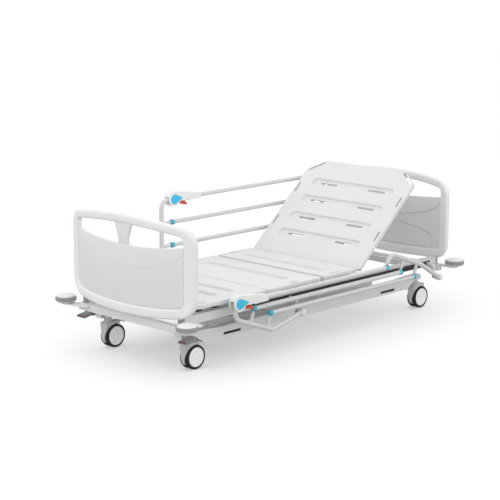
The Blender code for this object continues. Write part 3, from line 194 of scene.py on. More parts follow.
# ---------------------------------------------------------------- castors
# Twin-wheel castors: a moulded grey nylon housing on a steel stem, two solid rubber tyres and
# white polypropylene discs that snap over the rims. The tyres carry a fine groove round the middle.
TYRE_DEPTH = 0.011
DISC_RADIUS = 0.0511
CORNERS = ("foot_right", "foot_left", "head_right", "head_left")
body_of = {node: body for body, members in frame["record"]["behaviour"]["bodies"].items() for node in members}


def moulded(name, light, shade, roughness, grain=0.0012, depth=0.00012, strength=0.25):
    """Moulded plastic: the fine grain of its mould, and a slow change of tone across the piece."""
    finish, shader = new_finish(name, roughness, ior=1.49)
    place = add_node(finish, "ShaderNodeTexCoord")
    cloud = add_node(finish, "ShaderNodeTexNoise", values={"Scale": 6.0, "Detail": 3.0},
                     links={"Vector": place.outputs["Object"]})
    tone = add_node(finish, "ShaderNodeMix", {"data_type": "RGBA"}, links={"Factor": cloud.outputs["Fac"]})
    tone.inputs[6].default_value = linear(light)
    tone.inputs[7].default_value = linear(shade)
    finish.node_tree.links.new(tone.outputs[2], shader.inputs["Base Color"])
    skin = add_node(finish, "ShaderNodeTexNoise", values={"Scale": 1.0 / grain, "Detail": 2.0},
                    links={"Vector": place.outputs["Object"]})
    polish = add_node(finish, "ShaderNodeMapRange",
                      values={"To Min": roughness - 0.06, "To Max": roughness + 0.08},
                      links={"Value": skin.outputs["Fac"]})
    finish.node_tree.links.new(polish.outputs["Result"], shader.inputs["Roughness"])
    bump = add_node(finish, "ShaderNodeBump", values={"Strength": strength, "Distance": depth},
                    links={"Height": skin.outputs["Fac"]})
    finish.node_tree.links.new(bump.outputs["Normal"], shader.inputs["Normal"])
    return finish


def new_piece(name, body, parts, stands_for=(), sharp=38.0):
    """One piece from (shape, finish) pairs, riding on a body and standing for its CAD nodes."""
    whole = bmesh.new()
    finishes = []
    for shape, finish in parts:
        if finish not in finishes:
            finishes.append(finish)
        bmesh.ops.remove_doubles(shape, verts=shape.verts, dist=0.000005)
        bmesh.ops.recalc_face_normals(shape, faces=shape.faces)
        for face in shape.faces:
            face.material_index = finishes.index(finish)
        portion = bpy.data.meshes.new("portion")
        shape.to_mesh(portion)
        shape.free()
        whole.from_mesh(portion)
        bpy.data.meshes.remove(portion)
    mesh = bpy.data.meshes.new(name)
    whole.to_mesh(mesh)
    whole.free()
    for finish in finishes:
        mesh.materials.append(finish)
    mesh.shade_smooth()
    mesh.set_sharp_from_angle(angle=math.radians(sharp))
    piece = bpy.data.objects.new(name, mesh)
    bpy.context.scene.collection.objects.link(piece)
    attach(piece, body)
    if stands_for:
        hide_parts(*stands_for)
    return piece


def turned(profile, centre, axis="Y", steps=72):
    """A ring or disc turned from a closed loop of (radius, place along the axis)."""
    shape = bmesh.new()
    loop = [shape.verts.new((radius, 0, along)) for radius, along in profile]
    edges = [shape.edges.new(pair) for pair in zip(loop, loop[1:] + loop[:1])]
    bmesh.ops.spin(shape, geom=loop + edges, cent=(0, 0, 0), axis=(0, 0, 1), angle=2 * math.pi,
                   steps=steps, use_merge=True)
    bmesh.ops.remove_doubles(shape, verts=shape.verts, dist=0.00001)
    if axis == "Y":
        bmesh.ops.rotate(shape, verts=shape.verts, matrix=Matrix.Rotation(math.pi / 2, 3, "X"))
    bmesh.ops.translate(shape, verts=shape.verts, vec=centre)
    return shape


def round_edges(shape, width, segments=3, over=48.0):
    """Rounds every edge that is sharper than the given angle."""
    edges = [edge for edge in shape.edges if edge.is_manifold and edge.calc_face_angle() > math.radians(over)]
    bmesh.ops.bevel(shape, geom=edges, offset=width, offset_type="OFFSET", segments=segments, profile=0.5,
                    affect="EDGES", clamp_overlap=True, material=-1)
    return shape


def merged(node):
    """A copy of a part with its loose triangles merged into whole faces."""
    shape = bmesh.new()
    shape.from_mesh(nodes[node].data)
    bmesh.ops.remove_doubles(shape, verts=shape.verts, dist=0.00002)
    bmesh.ops.dissolve_limit(shape, angle_limit=math.radians(1.0), verts=shape.verts, edges=shape.edges)
    return shape


def softened(node, width, finish, segments=2, extra=()):
    """A merged copy of a part with its edges rounded, standing for it."""
    shape = round_edges(merged(node), width, segments)
    return new_piece(node + "_shell", body_of[node], [(shape, finish), *extra], (node,))


castor_grey = moulded("moulded_nylon_grey", "#c3c5c5", "#b9bbbb", 0.48)
disc_white = moulded("polypropylene_wheel_disc", "#fafafa", "#f4f5f5", 0.38)
tyre_black = moulded("solid_rubber_tyre", "#141415", "#1e1e20", 0.72, grain=0.002, depth=0.0003, strength=0.4)
for label in CORNERS:
    softened("caster_housing_" + label, 0.003, castor_grey, 3)
    for wheel in ("outer", "inner"):
        low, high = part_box(f"caster_tyre_{label}_{wheel}")
        middle = (low + high) / 2
        radius = (high.z - low.z) / 2
        half = (high.y - low.y) / 2
        rim = radius - TYRE_DEPTH
        tread = [(rim, -half), (radius - 0.007, -half), (radius - 0.003, -half + 0.0012),
                 (radius - 0.0008, -half + 0.0035), (radius, -half + 0.006), (radius, -0.0012),
                 (radius - 0.0014, -0.0006), (radius - 0.0014, 0.0006), (radius, 0.0012),
                 (radius, half - 0.006), (radius - 0.0008, half - 0.0035),
                 (radius - 0.003, half - 0.0012), (radius - 0.007, half), (rim, half)]
        new_piece(f"tyre_{label}_{wheel}", "caster_wheels_" + label, [(turned(tread, middle), tyre_black)],
                  (f"caster_tyre_{label}_{wheel}",))
    low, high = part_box("caster_hub_" + label)
    middle = (low + high) / 2
    face = (high.y - low.y) / 2
    rim = DISC_RADIUS
    side_profile = [(0, face), (0.009, face), (0.0105, face - 0.0008), (0.0105, face - 0.0022),
                    (0.0135, face - 0.0026), (0.018, face - 0.0016), (0.030, face - 0.0004),
                    (rim - 0.009, face), (rim - 0.005, face - 0.0004), (rim - 0.002, face - 0.0016),
                    (rim - 0.0004, face - 0.004), (rim - 0.0004, 0.009), (0.006, 0.009)]
    profile = side_profile + [(reach, -along) for reach, along in reversed(side_profile)]
    new_piece("wheel_discs_" + label, "caster_wheels_" + label, [(turned(profile, middle), disc_white)],
              ("caster_hub_" + label,))


# ---------------------------------------------------------------- brake pedals
# A moulded grey foot pedal is pinned on a zinc-plated shaft beside each foot castor. A dark
# red band runs across its tip, and three low ribs give the shoe a grip.
PEDAL_SLOPE = -10.0


def plated_steel(name):
    """Drawn bar, zinc plated: bright, with fine lines along it about 1 mm apart."""
    finish, shader = new_finish(name, 0.3, metallic=1.0)
    place = add_node(finish, "ShaderNodeTexCoord")
    stretch = add_node(finish, "ShaderNodeMapping", values={"Scale": (900.0, 20.0, 900.0)},
                       links={"Vector": place.outputs["Object"]})
    lines = add_node(finish, "ShaderNodeTexNoise", values={"Scale": 1.0, "Detail": 2.0},
                     links={"Vector": stretch.outputs["Vector"]})
    tone = add_node(finish, "ShaderNodeMix", {"data_type": "RGBA"}, links={"Factor": lines.outputs["Fac"]})
    tone.inputs[6].default_value = linear("#b9bbbd")
    tone.inputs[7].default_value = linear("#a4a6a9")
    finish.node_tree.links.new(tone.outputs[2], shader.inputs["Base Color"])
    polish = add_node(finish, "ShaderNodeMapRange", values={"To Min": 0.24, "To Max": 0.42},
                      links={"Value": lines.outputs["Fac"]})
    finish.node_tree.links.new(polish.outputs["Result"], shader.inputs["Roughness"])
    return finish


def rotation_y(degrees, centre):
    """Turn about a Y axis; a positive angle carries +Z toward +X."""
    place = Matrix.Translation(centre)
    return place @ Matrix.Rotation(math.radians(degrees), 4, "Y") @ place.inverted()


def block(x, y, z, soft=0.0, segments=2):
    """A box between the pairs x, y and z, with its edges rounded by soft."""
    size = Matrix.Diagonal((x[1] - x[0], y[1] - y[0], z[1] - z[0], 1.0))
    shape = bmesh.new()
    bmesh.ops.create_cube(shape, size=1.0, matrix=Matrix.Translation(
        ((x[0] + x[1]) / 2, (y[0] + y[1]) / 2, (z[0] + z[1]) / 2)) @ size)
    if soft:
        round_edges(shape, soft, segments)
    return shape


pedal_grey = moulded("moulded_pedal_grey", "#8e9091", "#858788", 0.5)
brake_red = moulded("moulded_dark_red", "#8c1f38", "#7d1a31", 0.42)
shaft_steel = plated_steel("zinc_plated_bar")
for label in ("left", "right"):
    coat_node("brake_shaft_" + label, shaft_steel)
    low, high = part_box("brake_pedal_" + label)
    shaft_low, shaft_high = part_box("brake_shaft_" + label)
    axis = Vector(((shaft_low.x + shaft_high.x) / 2, 0, (shaft_low.z + shaft_high.z) / 2))
    lean = rotation_y(PEDAL_SLOPE, axis)
    extra = []
    for reach, width, finish in ((-0.066, 0.0070, brake_red), (-0.0525, 0.0022, pedal_grey),
                                 (-0.0455, 0.0022, pedal_grey), (-0.0385, 0.0022, pedal_grey)):
        rib = block((axis.x + reach - width / 2, axis.x + reach + width / 2), (low.y + 0.004, high.y - 0.004),
                    (axis.z + 0.0035, axis.z + 0.0068), 0.0008)
        bmesh.ops.transform(rib, matrix=lean, verts=rib.verts)
        extra.append((rib, finish))
    softened("brake_pedal_" + label, 0.002, pedal_grey, 3, extra)


# ---------------------------------------------------------------- painted shade in the side beam pockets
# The side beams have long pockets in their outer faces, two on each side of the bed. A black piece
# lies just below the face in each: painted shade, standing for the dark inside the slot.
SLOT_SHADE_ENDS = (0.556, 0.679)
SLOT_SHADE_EDGES = (0.1396, 0.1524)
SIDE_BEAM_FACE = 0.323
# Painted shade: the black of these pieces stands for the dark inside the slots, not for a part's own colour.
slot_shade_black = moulded("painted_slot_shade_black", "#18191b", "#202123", 0.55)
slot_shades = []
for end in (-1, 1):
    for side in (-1, 1):
        x = sorted(end * place for place in SLOT_SHADE_ENDS)
        y = sorted(side * (SIDE_BEAM_FACE - depth) for depth in (0.0075, 0.003))
        slot_shades.append((block(x, y, SLOT_SHADE_EDGES, 0.0015), slot_shade_black))
new_piece("side_beam_slot_shades", "base", slot_shades, ())


# ---------------------------------------------------------------- bumper rollers
# A roller at each corner keeps the bed off the walls: a ribbed light grey thermoplastic tread
# between a stepped white cap and a white lower disc, turning on the bracket's pin.
TREAD_HEIGHT = 0.0200
TREAD_DROP = Vector((0, 0, 0.0035))
RIBS = 56
tread_grey = moulded("ribbed_tread_grey", "#abadae", "#a0a2a3", 0.5)
cap_white = moulded("moulded_cap_white", "#eff0f0", "#e8e9e9", 0.4)
for label in CORNERS:
    low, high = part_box("bumper_roller_" + label)
    middle = (low + high) / 2
    radius = (high.x - low.x) / 2
    top = (high.z - low.z) / 2
    tread = bmesh.new()
    bmesh.ops.create_cone(tread, cap_ends=True, segments=RIBS, radius1=radius, radius2=radius,
                          depth=TREAD_HEIGHT, matrix=Matrix.Translation(middle - TREAD_DROP))
    around = [face for face in tread.faces if len(face.verts) == 4]
    bmesh.ops.inset_individual(tread, faces=around, thickness=0.0013, depth=0.0022, use_even_offset=True)
    cap = [(0, top), (0.010, top), (0.0115, top - 0.0012), (0.024, top - 0.0016), (0.0255, top - 0.0050),
           (0.040, top - 0.0062), (0.046, top - 0.0090), (0.0485, top - 0.0125), (0.0485, top - 0.0155),
           (0, top - 0.0155)]
    lower = [(0.009, -top), (0.038, -top), (0.046, -top + 0.003), (0.0500, -top + 0.0075),
             (0.0500, -top + 0.0105), (0.009, -top + 0.0105)]
    discs = [(turned(profile, middle, "Z"), cap_white) for profile in (cap, lower)]
    new_piece("corner_roller_" + label, body_of["bumper_roller_" + label], [(tread, tread_grey), *discs],
              ("bumper_roller_" + label,), 30.0)


# ---------------------------------------------------------------- sleeping surface
# Four vacuum-formed ABS panels, clipped on their frames. Channels with round ends stiffen each
# one, and slots let air through and take straps.
HALF_WIDTH = 0.400
DECK_TOP = 0.345
DECK_THICKNESS = 0.022
SECTION_AXIS_Z = 0.310
CHANNEL_LENGTH = 0.604
CHANNEL_DEPTH = 0.013
SLOT_RADIUS = 0.007


def carve(shape, tool):
    """Cuts tool out of shape; both are used up and the result is returned."""
    pair = []
    for label, solid in (("work", shape), ("tool", tool)):
        bmesh.ops.recalc_face_normals(solid, faces=solid.faces)
        mesh = bpy.data.meshes.new(label)
        solid.to_mesh(mesh)
        solid.free()
        made = bpy.data.objects.new(label, mesh)
        bpy.context.scene.collection.objects.link(made)
        pair.append(made)
    cutter = pair[0].modifiers.new("carve", "BOOLEAN")
    cutter.operation = "DIFFERENCE"
    cutter.object = pair[1]
    bpy.context.view_layer.update()
    result = bmesh.new()
    result.from_mesh(pair[0].evaluated_get(bpy.context.evaluated_depsgraph_get()).to_mesh())
    for made in pair:
        mesh = made.data
        bpy.data.objects.remove(made, do_unlink=True)
        bpy.data.meshes.remove(mesh)
    return result


def stadium_tool(shape, x, y, length, low_radius, high_radius, low, high, turn=0.0):
    """Adds a cutter with round ends that lies across the bed; its walls slope between the two radii."""
    spin = Matrix.Rotation(math.pi / 28, 4, "Z")
    made = bmesh.ops.create_cone(shape, cap_ends=True, segments=28, radius1=low_radius, radius2=high_radius,
                                 depth=high - low, matrix=spin)["verts"]
    reach = length / 2 - high_radius
    for vert in made:
        vert.co.y += math.copysign(reach, vert.co.y)
    bmesh.ops.rotate(shape, verts=made, matrix=Matrix.Rotation(math.radians(turn), 3, "Z"))
    bmesh.ops.translate(shape, verts=made, vec=(x, y, (low + high) / 2))


def flat_face(corners, rounding, axis="Z"):
    """A flat face from a few corners, each rounded by its own amount; it lies square to axis."""
    lay = {"Z": lambda a, b: (a, b, 0), "X": lambda a, b: (0, a, b), "Y": lambda a, b: (a, 0, b)}[axis]
    shape = bmesh.new()
    verts = [shape.verts.new(lay(a, b)) for a, b in corners]
    shape.faces.new(verts)
    for vert, amount in zip(verts, rounding):
        if amount:
            bmesh.ops.bevel(shape, geom=[vert], offset=amount, offset_type="OFFSET", segments=10, profile=0.5,
                            affect="VERTICES", clamp_overlap=True, material=-1)
    return shape


def thickened(shape, vector):
    """Draws a flat face out into a solid."""
    grown = bmesh.ops.extrude_face_region(shape, geom=shape.faces[:])
    moved = [item for item in grown["geom"] if isinstance(item, bmesh.types.BMVert)]
    bmesh.ops.translate(shape, verts=moved, vec=vector)
    bmesh.ops.recalc_face_normals(shape, faces=shape.faces)
    return shape


def deck_panel(name, corners, rounding, channels, channel_radius, slots, lean=None):
    """One panel: its outline, channels at the given places and slots as (x, y, length, turn)."""
    panel = thickened(flat_face(corners, rounding), (0, 0, -DECK_THICKNESS))
    bmesh.ops.translate(panel, verts=panel.verts, vec=(0, 0, DECK_TOP))
    round_edges(panel, 0.0045, 3)
    tools = bmesh.new()
    for x in channels:
        stadium_tool(tools, x, 0, CHANNEL_LENGTH, channel_radius - 0.004, channel_radius + 0.002,
                     DECK_TOP - CHANNEL_DEPTH, DECK_TOP + 0.002)
    panel = carve(panel, tools)
    tools = bmesh.new()
    for x, y, length, turn in slots:
        for side in (-1, 1):
            stadium_tool(tools, x, side * y, length, SLOT_RADIUS, SLOT_RADIUS, DECK_TOP - 0.04,
                         DECK_TOP + 0.01, side * turn)
    panel = carve(panel, tools)
    if lean:
        bmesh.ops.transform(panel, matrix=lean, verts=panel.verts)
    return new_piece(name + "_shell", body_of[name], [(panel, deck_white)], (name,), 24.0)


deck_white = moulded("vacuum_formed_abs_white", "#e6e7e7", "#dfe0e0", 0.42, grain=0.0016)
seat_low, seat_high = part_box("seat_panel")
thigh_low, thigh_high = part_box("thigh_panel")
calf_low, calf_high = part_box("calf_panel")
back_axis = Vector((seat_high.x + 0.037, 0, SECTION_AXIS_Z))
knee_x = thigh_low.x - 0.004
square = (0.004, 0.004, 0.004, 0.004)


def rectangle(low_x, high_x):
    """The outline of a plain section, the full width of the deck."""
    return ((high_x, HALF_WIDTH), (low_x, HALF_WIDTH), (low_x, -HALF_WIDTH), (high_x, -HALF_WIDTH))


seat_line = seat_low.x + 0.105
deck_panel("seat_panel", rectangle(seat_low.x, seat_high.x), square, (seat_line,), 0.022,
           ((seat_line, 0.176, 0.085, 0), (seat_line + 0.005, 0.378, 0.080, 90)))
thigh_line = knee_x + 0.250
deck_panel("thigh_panel", rectangle(thigh_low.x, thigh_high.x), square, (thigh_line,), 0.026,
           ((thigh_line, 0.212, 0.118, 0), (thigh_line - 0.032, 0.378, 0.075, 90)))
calf_lines = (knee_x - 0.155, knee_x - 0.275)
deck_panel("calf_panel", rectangle(calf_low.x, calf_high.x), (0.004, 0.050, 0.050, 0.004), calf_lines, 0.024,
           ((calf_lines[0], 0.212, 0.118, 0), (calf_lines[1], 0.212, 0.118, 0),
            (knee_x - 0.192, 0.378, 0.075, 90), (calf_low.x + 0.060, 0.352, 0.080, -48)))
BACK_LENGTH = 0.700
BACK_ANGLE = -42.0
back_start = back_axis.x + 0.004
back_end = back_axis.x + BACK_LENGTH
back_lines = [back_axis.x + along for along in (0.157, 0.283, 0.411, 0.538)]
back_corners = ((back_end, 0.292), (back_end - 0.079, HALF_WIDTH), (back_start, HALF_WIDTH),
                (back_start, -HALF_WIDTH), (back_end - 0.079, -HALF_WIDTH), (back_end, -0.292))
deck_panel("backrest_panel", back_corners, (0.014, 0.014, 0.004, 0.004, 0.014, 0.014), back_lines, 0.026,
           [(x, 0.176, 0.123, 0) for x in back_lines]
           + [(back_axis.x + 0.230, 0.378, 0.070, 90), (back_axis.x + 0.480, 0.378, 0.070, 90),
              (back_end - 0.051, 0.337, 0.115, 38)], rotation_y(BACK_ANGLE, back_axis))


# ---------------------------------------------------------------- end boards
# Blow-moulded boards bowed outward in the middle: a thick white ring with a handle rail, and a
# thinner inset panel whose web parts the two hand openings. Each board stands on two steel pegs.
BOARD_HALF = 0.452
BOARD_SHOULDER = 0.727
BOARD_CROWN = 0.038
BOARD_FOOT = 0.298
BOARD_SAG = 0.034
BOARD_EDGE_X = 0.986
BOARD_BOW = 0.062
BOARD_THICKNESS = 0.036
POST_WIDTH = 0.062
HANDLE_DEPTH = 0.046
SILL_HEIGHT = 0.054
GRIP_SILL = 0.612
GRIP_RISE = 0.028
INSET_THICKNESS = 0.020
SMILE_RADIUS = 0.89
SMILE_SWEEP = 25.6
SMILE_LOW = 0.500
FIELD_HALF = 0.315
FIELD_FOOT = 0.352
FIELD_SHOULDER = 0.414
FIELD_CROWN = 0.046
FIELD_DEPTH = 0.0064
PEG_X = 1.010
PEG_Y = 0.355


def in_strips(shape, count=44):
    """Cuts a flat board into upright strips, so that it can be bent."""
    for strip in range(1, count):
        y = BOARD_HALF * (2 * strip / count - 1)
        bmesh.ops.bisect_plane(shape, geom=shape.verts[:] + shape.edges[:] + shape.faces[:], dist=0.000001,
                               plane_co=(0, y, 0), plane_no=(0, 1, 0))
    return shape


def shaped(shape, reach, end, crown=True):
    """Gives the strips their crowned top and sagging foot, then bows the board outward."""
    for vert in shape.verts:
        share = min(abs(vert.co.y) / BOARD_HALF, 1.0)
        if crown and vert.co.z > 0.55:
            vert.co.z += BOARD_CROWN * (1 - (min(abs(vert.co.y), reach) / BOARD_HALF) ** 2)
        elif vert.co.z < 0.42:
            vert.co.z -= BOARD_SAG * (1 - share ** 2) * min(1.0, (0.42 - vert.co.z) / 0.06)
        vert.co.x = end * (vert.co.x + BOARD_EDGE_X + BOARD_BOW * (1 - share ** 2.6))
    return shape


def board_ring(end):
    """The outer ring, drawn from two rounded loops and bridged."""
    outer = flat_face(((BOARD_HALF, BOARD_FOOT), (BOARD_HALF, BOARD_SHOULDER), (-BOARD_HALF, BOARD_SHOULDER),
                       (-BOARD_HALF, BOARD_FOOT)), (0.088, 0.090, 0.090, 0.088), "X")
    half = BOARD_HALF - POST_WIDTH
    inner = flat_face(((half, BOARD_FOOT + SILL_HEIGHT), (half, BOARD_SHOULDER - HANDLE_DEPTH),
                       (-half, BOARD_SHOULDER - HANDLE_DEPTH), (-half, BOARD_FOOT + SILL_HEIGHT)),
                      (0.030, 0.028, 0.028, 0.030), "X")
    portion = bpy.data.meshes.new("portion")
    inner.to_mesh(portion)
    inner.free()
    outer.from_mesh(portion)
    bpy.data.meshes.remove(portion)
    bmesh.ops.delete(outer, geom=outer.faces[:], context="FACES_ONLY")
    bmesh.ops.bridge_loops(outer, edges=outer.edges[:])
    bmesh.ops.translate(outer, verts=outer.verts, vec=(-BOARD_THICKNESS / 2, 0, 0))
    ring = thickened(outer, (BOARD_THICKNESS, 0, 0))
    round_edges(ring, 0.0125, 5, 60.0)
    return shaped(in_strips(ring), 0.362, end)


def smile_tool(x, groove):
    """An arc of round bar that dips to SMILE_LOW in the middle of the board."""
    tool = bmesh.new()
    centre = (x, 0, SMILE_LOW + SMILE_RADIUS)
    turn = Matrix.Rotation(math.pi / 2, 4, "X")
    start = Matrix.Rotation(math.radians(-SMILE_SWEEP), 4, "X")
    place = Matrix.Translation(centre) @ start @ Matrix.Translation((0, 0, -SMILE_RADIUS)) @ turn
    made = bmesh.ops.create_circle(tool, cap_ends=False, segments=10, radius=groove, matrix=place)["verts"]
    edges = list({edge for vert in made for edge in vert.link_edges})
    bmesh.ops.spin(tool, geom=made + edges, cent=centre, axis=(1, 0, 0), angle=math.radians(2 * SMILE_SWEEP),
                   steps=48)
    rims = [edge for edge in tool.edges if edge.is_boundary]
    bmesh.ops.holes_fill(tool, edges=rims, sides=12)
    return tool


def inset_panel(end):
    """The inset panel with an arc moulded in each face, its web, and the arched field on the bed side."""
    half = BOARD_HALF - POST_WIDTH - 0.0008
    out = BOARD_THICKNESS / 2 - 0.006
    back = out - INSET_THICKNESS
    panel = flat_face(((half, BOARD_FOOT + SILL_HEIGHT + 0.0008), (half, GRIP_SILL), (-half, GRIP_SILL),
                       (-half, BOARD_FOOT + SILL_HEIGHT + 0.0008)), (0.029, 0.002, 0.002, 0.029), "X")
    bmesh.ops.translate(panel, verts=panel.verts, vec=(back, 0, 0))
    panel = round_edges(thickened(panel, (INSET_THICKNESS, 0, 0)), 0.0035, 3, 60.0)
    panel = carve(panel, smile_tool(out + 0.0006, 0.0026))
    panel = carve(panel, smile_tool(back + 0.0004, 0.0058))
    field = flat_face(((FIELD_HALF, FIELD_FOOT), (FIELD_HALF, FIELD_SHOULDER), (-FIELD_HALF, FIELD_SHOULDER),
                       (-FIELD_HALF, FIELD_FOOT)), (0.004, 0.022, 0.022, 0.004), "X")
    field = in_strips(thickened(field, (FIELD_DEPTH, 0, 0)))
    for vert in field.verts:
        if vert.co.z > 0.38:
            vert.co.z += FIELD_CROWN * (1 - (vert.co.y / FIELD_HALF) ** 2)
    bmesh.ops.translate(field, verts=field.verts, vec=(back - 0.0010, 0, 0))
    plate = field.copy()
    for vert in plate.verts:
        vert.co.y *= 0.968
        vert.co.z = 0.405 + (vert.co.z - 0.405) * 0.86
    bmesh.ops.translate(plate, verts=plate.verts, vec=(0.0016, 0, 0))
    panel = in_strips(carve(panel, field))
    for vert in panel.verts:
        if vert.co.z > 0.58:
            vert.co.z += GRIP_RISE * (vert.co.y / 0.390) ** 2 * min(1.0, (vert.co.z - 0.58) / 0.025)
    web = flat_face(((0.034, GRIP_SILL - 0.012), (0.037, 0.652), (0.057, 0.707), (0.062, 0.722),
                     (-0.062, 0.722), (-0.057, 0.707), (-0.037, 0.652), (-0.034, GRIP_SILL - 0.012)),
                    (0, 0.012, 0.006, 0, 0, 0.006, 0.012, 0), "X")
    bmesh.ops.translate(web, verts=web.verts, vec=(back + 0.0014, 0, 0))
    web = round_edges(thickened(web, (0.0172, 0, 0)), 0.003, 3, 60.0)
    return [shaped(made, 0, end, False) for made in (panel, in_strips(web), plate)]


ring_white = moulded("blow_moulded_white", "#f3f4f4", "#edeeee", 0.34, grain=0.0020, strength=0.18)
inset_white = moulded("blow_moulded_pale_grey", "#eaebeb", "#e4e5e5", 0.42, grain=0.0016)
for name, end in (("footboard", -1), ("headboard", 1)):
    low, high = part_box(name + "_frame")
    pegs = []
    for side in (-1, 1):
        peg = bmesh.new()
        bmesh.ops.create_cone(peg, cap_ends=True, segments=24, radius1=0.010, radius2=0.011, depth=0.110,
                              matrix=Matrix.Translation((end * PEG_X, side * PEG_Y, low.z + 0.055)))
        pegs.append((round_edges(peg, 0.0015), shaft_steel))
    new_piece(name + "_ring", name, [(board_ring(end), ring_white), *pegs], (name + "_frame",),
              40.0)
    new_piece(name + "_inset", name, [(made, inset_white) for made in inset_panel(end)],
              (name + "_panel",), 40.0)


# ---------------------------------------------------------------- side rails
# Each side rail is a folding parallelogram: two bent steel posts and three level tubes, powder
# coated pale grey. Teal nylon sleeves cover the forked joints and the heads of their pins.
RAIL_JOINT_OFFSET = 0.046
RAIL_STANDOFF = 0.080
RAIL_HEIGHTS = (0.485, 0.357, 0.229)
POST_BEND = 0.190
BAR_LENGTH = 1.152
FORK_SWING = 0.0214
FOLD = {"right": -69.6, "left": 0.0}
CARRIER_EDGES = (0.254, 0.282)
CARRIER_MIDDLE = 0.268
CARRIER_THICKNESS = 0.008
POST_PLACES = (-0.25, 0.902)
BOLT_SHARES = (0.06, 0.28, 0.50, 0.72, 0.94)


def bent_tube(path, bend, radius, sides=24):
    """A round tube along straight legs, drawn out and bent at each corner on the same radius."""
    def grow():
        """Draws a new ring of verts and edges out of the open end."""
        grown = bmesh.ops.extrude_edge_only(tube, edges=edges)["geom"]
        verts = [item for item in grown if isinstance(item, bmesh.types.BMVert)]
        return verts, [item for item in grown if isinstance(item, bmesh.types.BMEdge)
                       and all(vert in verts for vert in item.verts)]

    tube = bmesh.new()
    turn = (path[1] - path[0]).to_track_quat("Z", "Y").to_matrix().to_4x4()
    ring = bmesh.ops.create_circle(tube, cap_ends=False, segments=sides, radius=radius,
                                   matrix=Matrix.Translation(path[0]) @ turn)["verts"]
    edges = list({edge for vert in ring for edge in vert.link_edges})
    place = path[0]
    for before, corner, after in zip(path, path[1:], path[2:]):
        back = (corner - before).normalized()
        ahead = (after - corner).normalized()
        angle = back.angle(ahead)
        start = corner - back * bend * math.tan(angle / 2)
        verts, edges = grow()
        bmesh.ops.translate(tube, verts=verts, vec=start - place)
        axis = back.cross(ahead).normalized()
        spun = bmesh.ops.spin(tube, geom=verts + edges, cent=start + axis.cross(back) * bend, axis=axis,
                              angle=angle, steps=8)["geom_last"]
        edges = [item for item in spun if isinstance(item, bmesh.types.BMEdge)]
        place = corner + ahead * bend * math.tan(angle / 2)
    bmesh.ops.translate(tube, verts=grow()[0], vec=path[-1] - place)
    bmesh.ops.remove_doubles(tube, verts=tube.verts, dist=0.00001)
    bmesh.ops.holes_fill(tube, edges=[edge for edge in tube.edges if edge.is_boundary], sides=sides)
    return tube


def rod(start, end, radius, soft=0.0, sides=28):
    """A round bar from start to end, with its rims rounded by soft."""
    turn = (end - start).to_track_quat("Z", "Y").to_matrix().to_4x4()
    shape = bmesh.new()
    bmesh.ops.create_cone(shape, cap_ends=True, segments=sides, radius1=radius, radius2=radius,
                          depth=(end - start).length, matrix=Matrix.Translation((start + end) / 2) @ turn)
    if soft:
        round_edges(shape, soft, 3, 60.0)
    return shape


def joint_place(node):
    """Where the joint sits that carries this node."""
    return Vector(next(row for row in frame["joints"] if row["child"] == node)["pos_m"])


# Black coat for the carrier bar and its bolts: painted shade, standing for the shadow gap under the top rail bar.
shadow_gap_black = powder_coat("black_coat_painted_shadow_gap", "#26272a", "#1c1d1f", 0.5)
tube_coat = powder_coat("pale_grey_powder_coat", "#dddede", "#d2d3d3", 0.36)
sleeve_teal = moulded("moulded_nylon_teal", "#4abdd6", "#40b2cc", 0.38)
across = Vector((0, 1, 0))

# A flat bar is bolted along each long rail; its black is painted shade for the gap under the top rail bar.
# At each post a short white arm is bent out from it and down, and ends in the steel pin that the post turns on.
for side in FOLD:
    node = "rail_carrier_" + side
    hand = 1 if side == "left" else -1
    low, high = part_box(node)
    inner = min(abs(low.y), abs(high.y))
    face = hand * (inner + CARRIER_THICKNESS)
    bar = block((low.x, high.x), sorted((hand * inner, face)), CARRIER_EDGES, 0.0012)
    parts = [(bar, shadow_gap_black)]
    for end in ("foot", "head"):
        pivot = joint_place(f"rail_post_{end}_{side}")
        arm_y = pivot.y - hand * 0.035
        path = [Vector((pivot.x, hand * (inner + 0.006), CARRIER_MIDDLE)),
                Vector((pivot.x, arm_y, CARRIER_MIDDLE)), Vector((pivot.x, arm_y, pivot.z - 0.012))]
        parts.append((bent_tube(path, 0.022, 0.0095), tube_coat))
        pin = rod(Vector((pivot.x, arm_y - hand * 0.004, pivot.z)), pivot + Vector((0, hand * 0.010, 0)),
                  0.010, 0.001)
        parts.append((pin, shaft_steel))
    for share in BOLT_SHARES:
        x = low.x + (high.x - low.x) * share
        if min(abs(x - place) for place in POST_PLACES) > 0.03:
            bolt = rod(Vector((x, face - hand * 0.001, CARRIER_MIDDLE)),
                       Vector((x, face + hand * 0.003, CARRIER_MIDDLE)), 0.0065, 0.0012)
            parts.append((bolt, shadow_gap_black))
    new_piece(node + "_shell", body_of[node], parts, (node,))

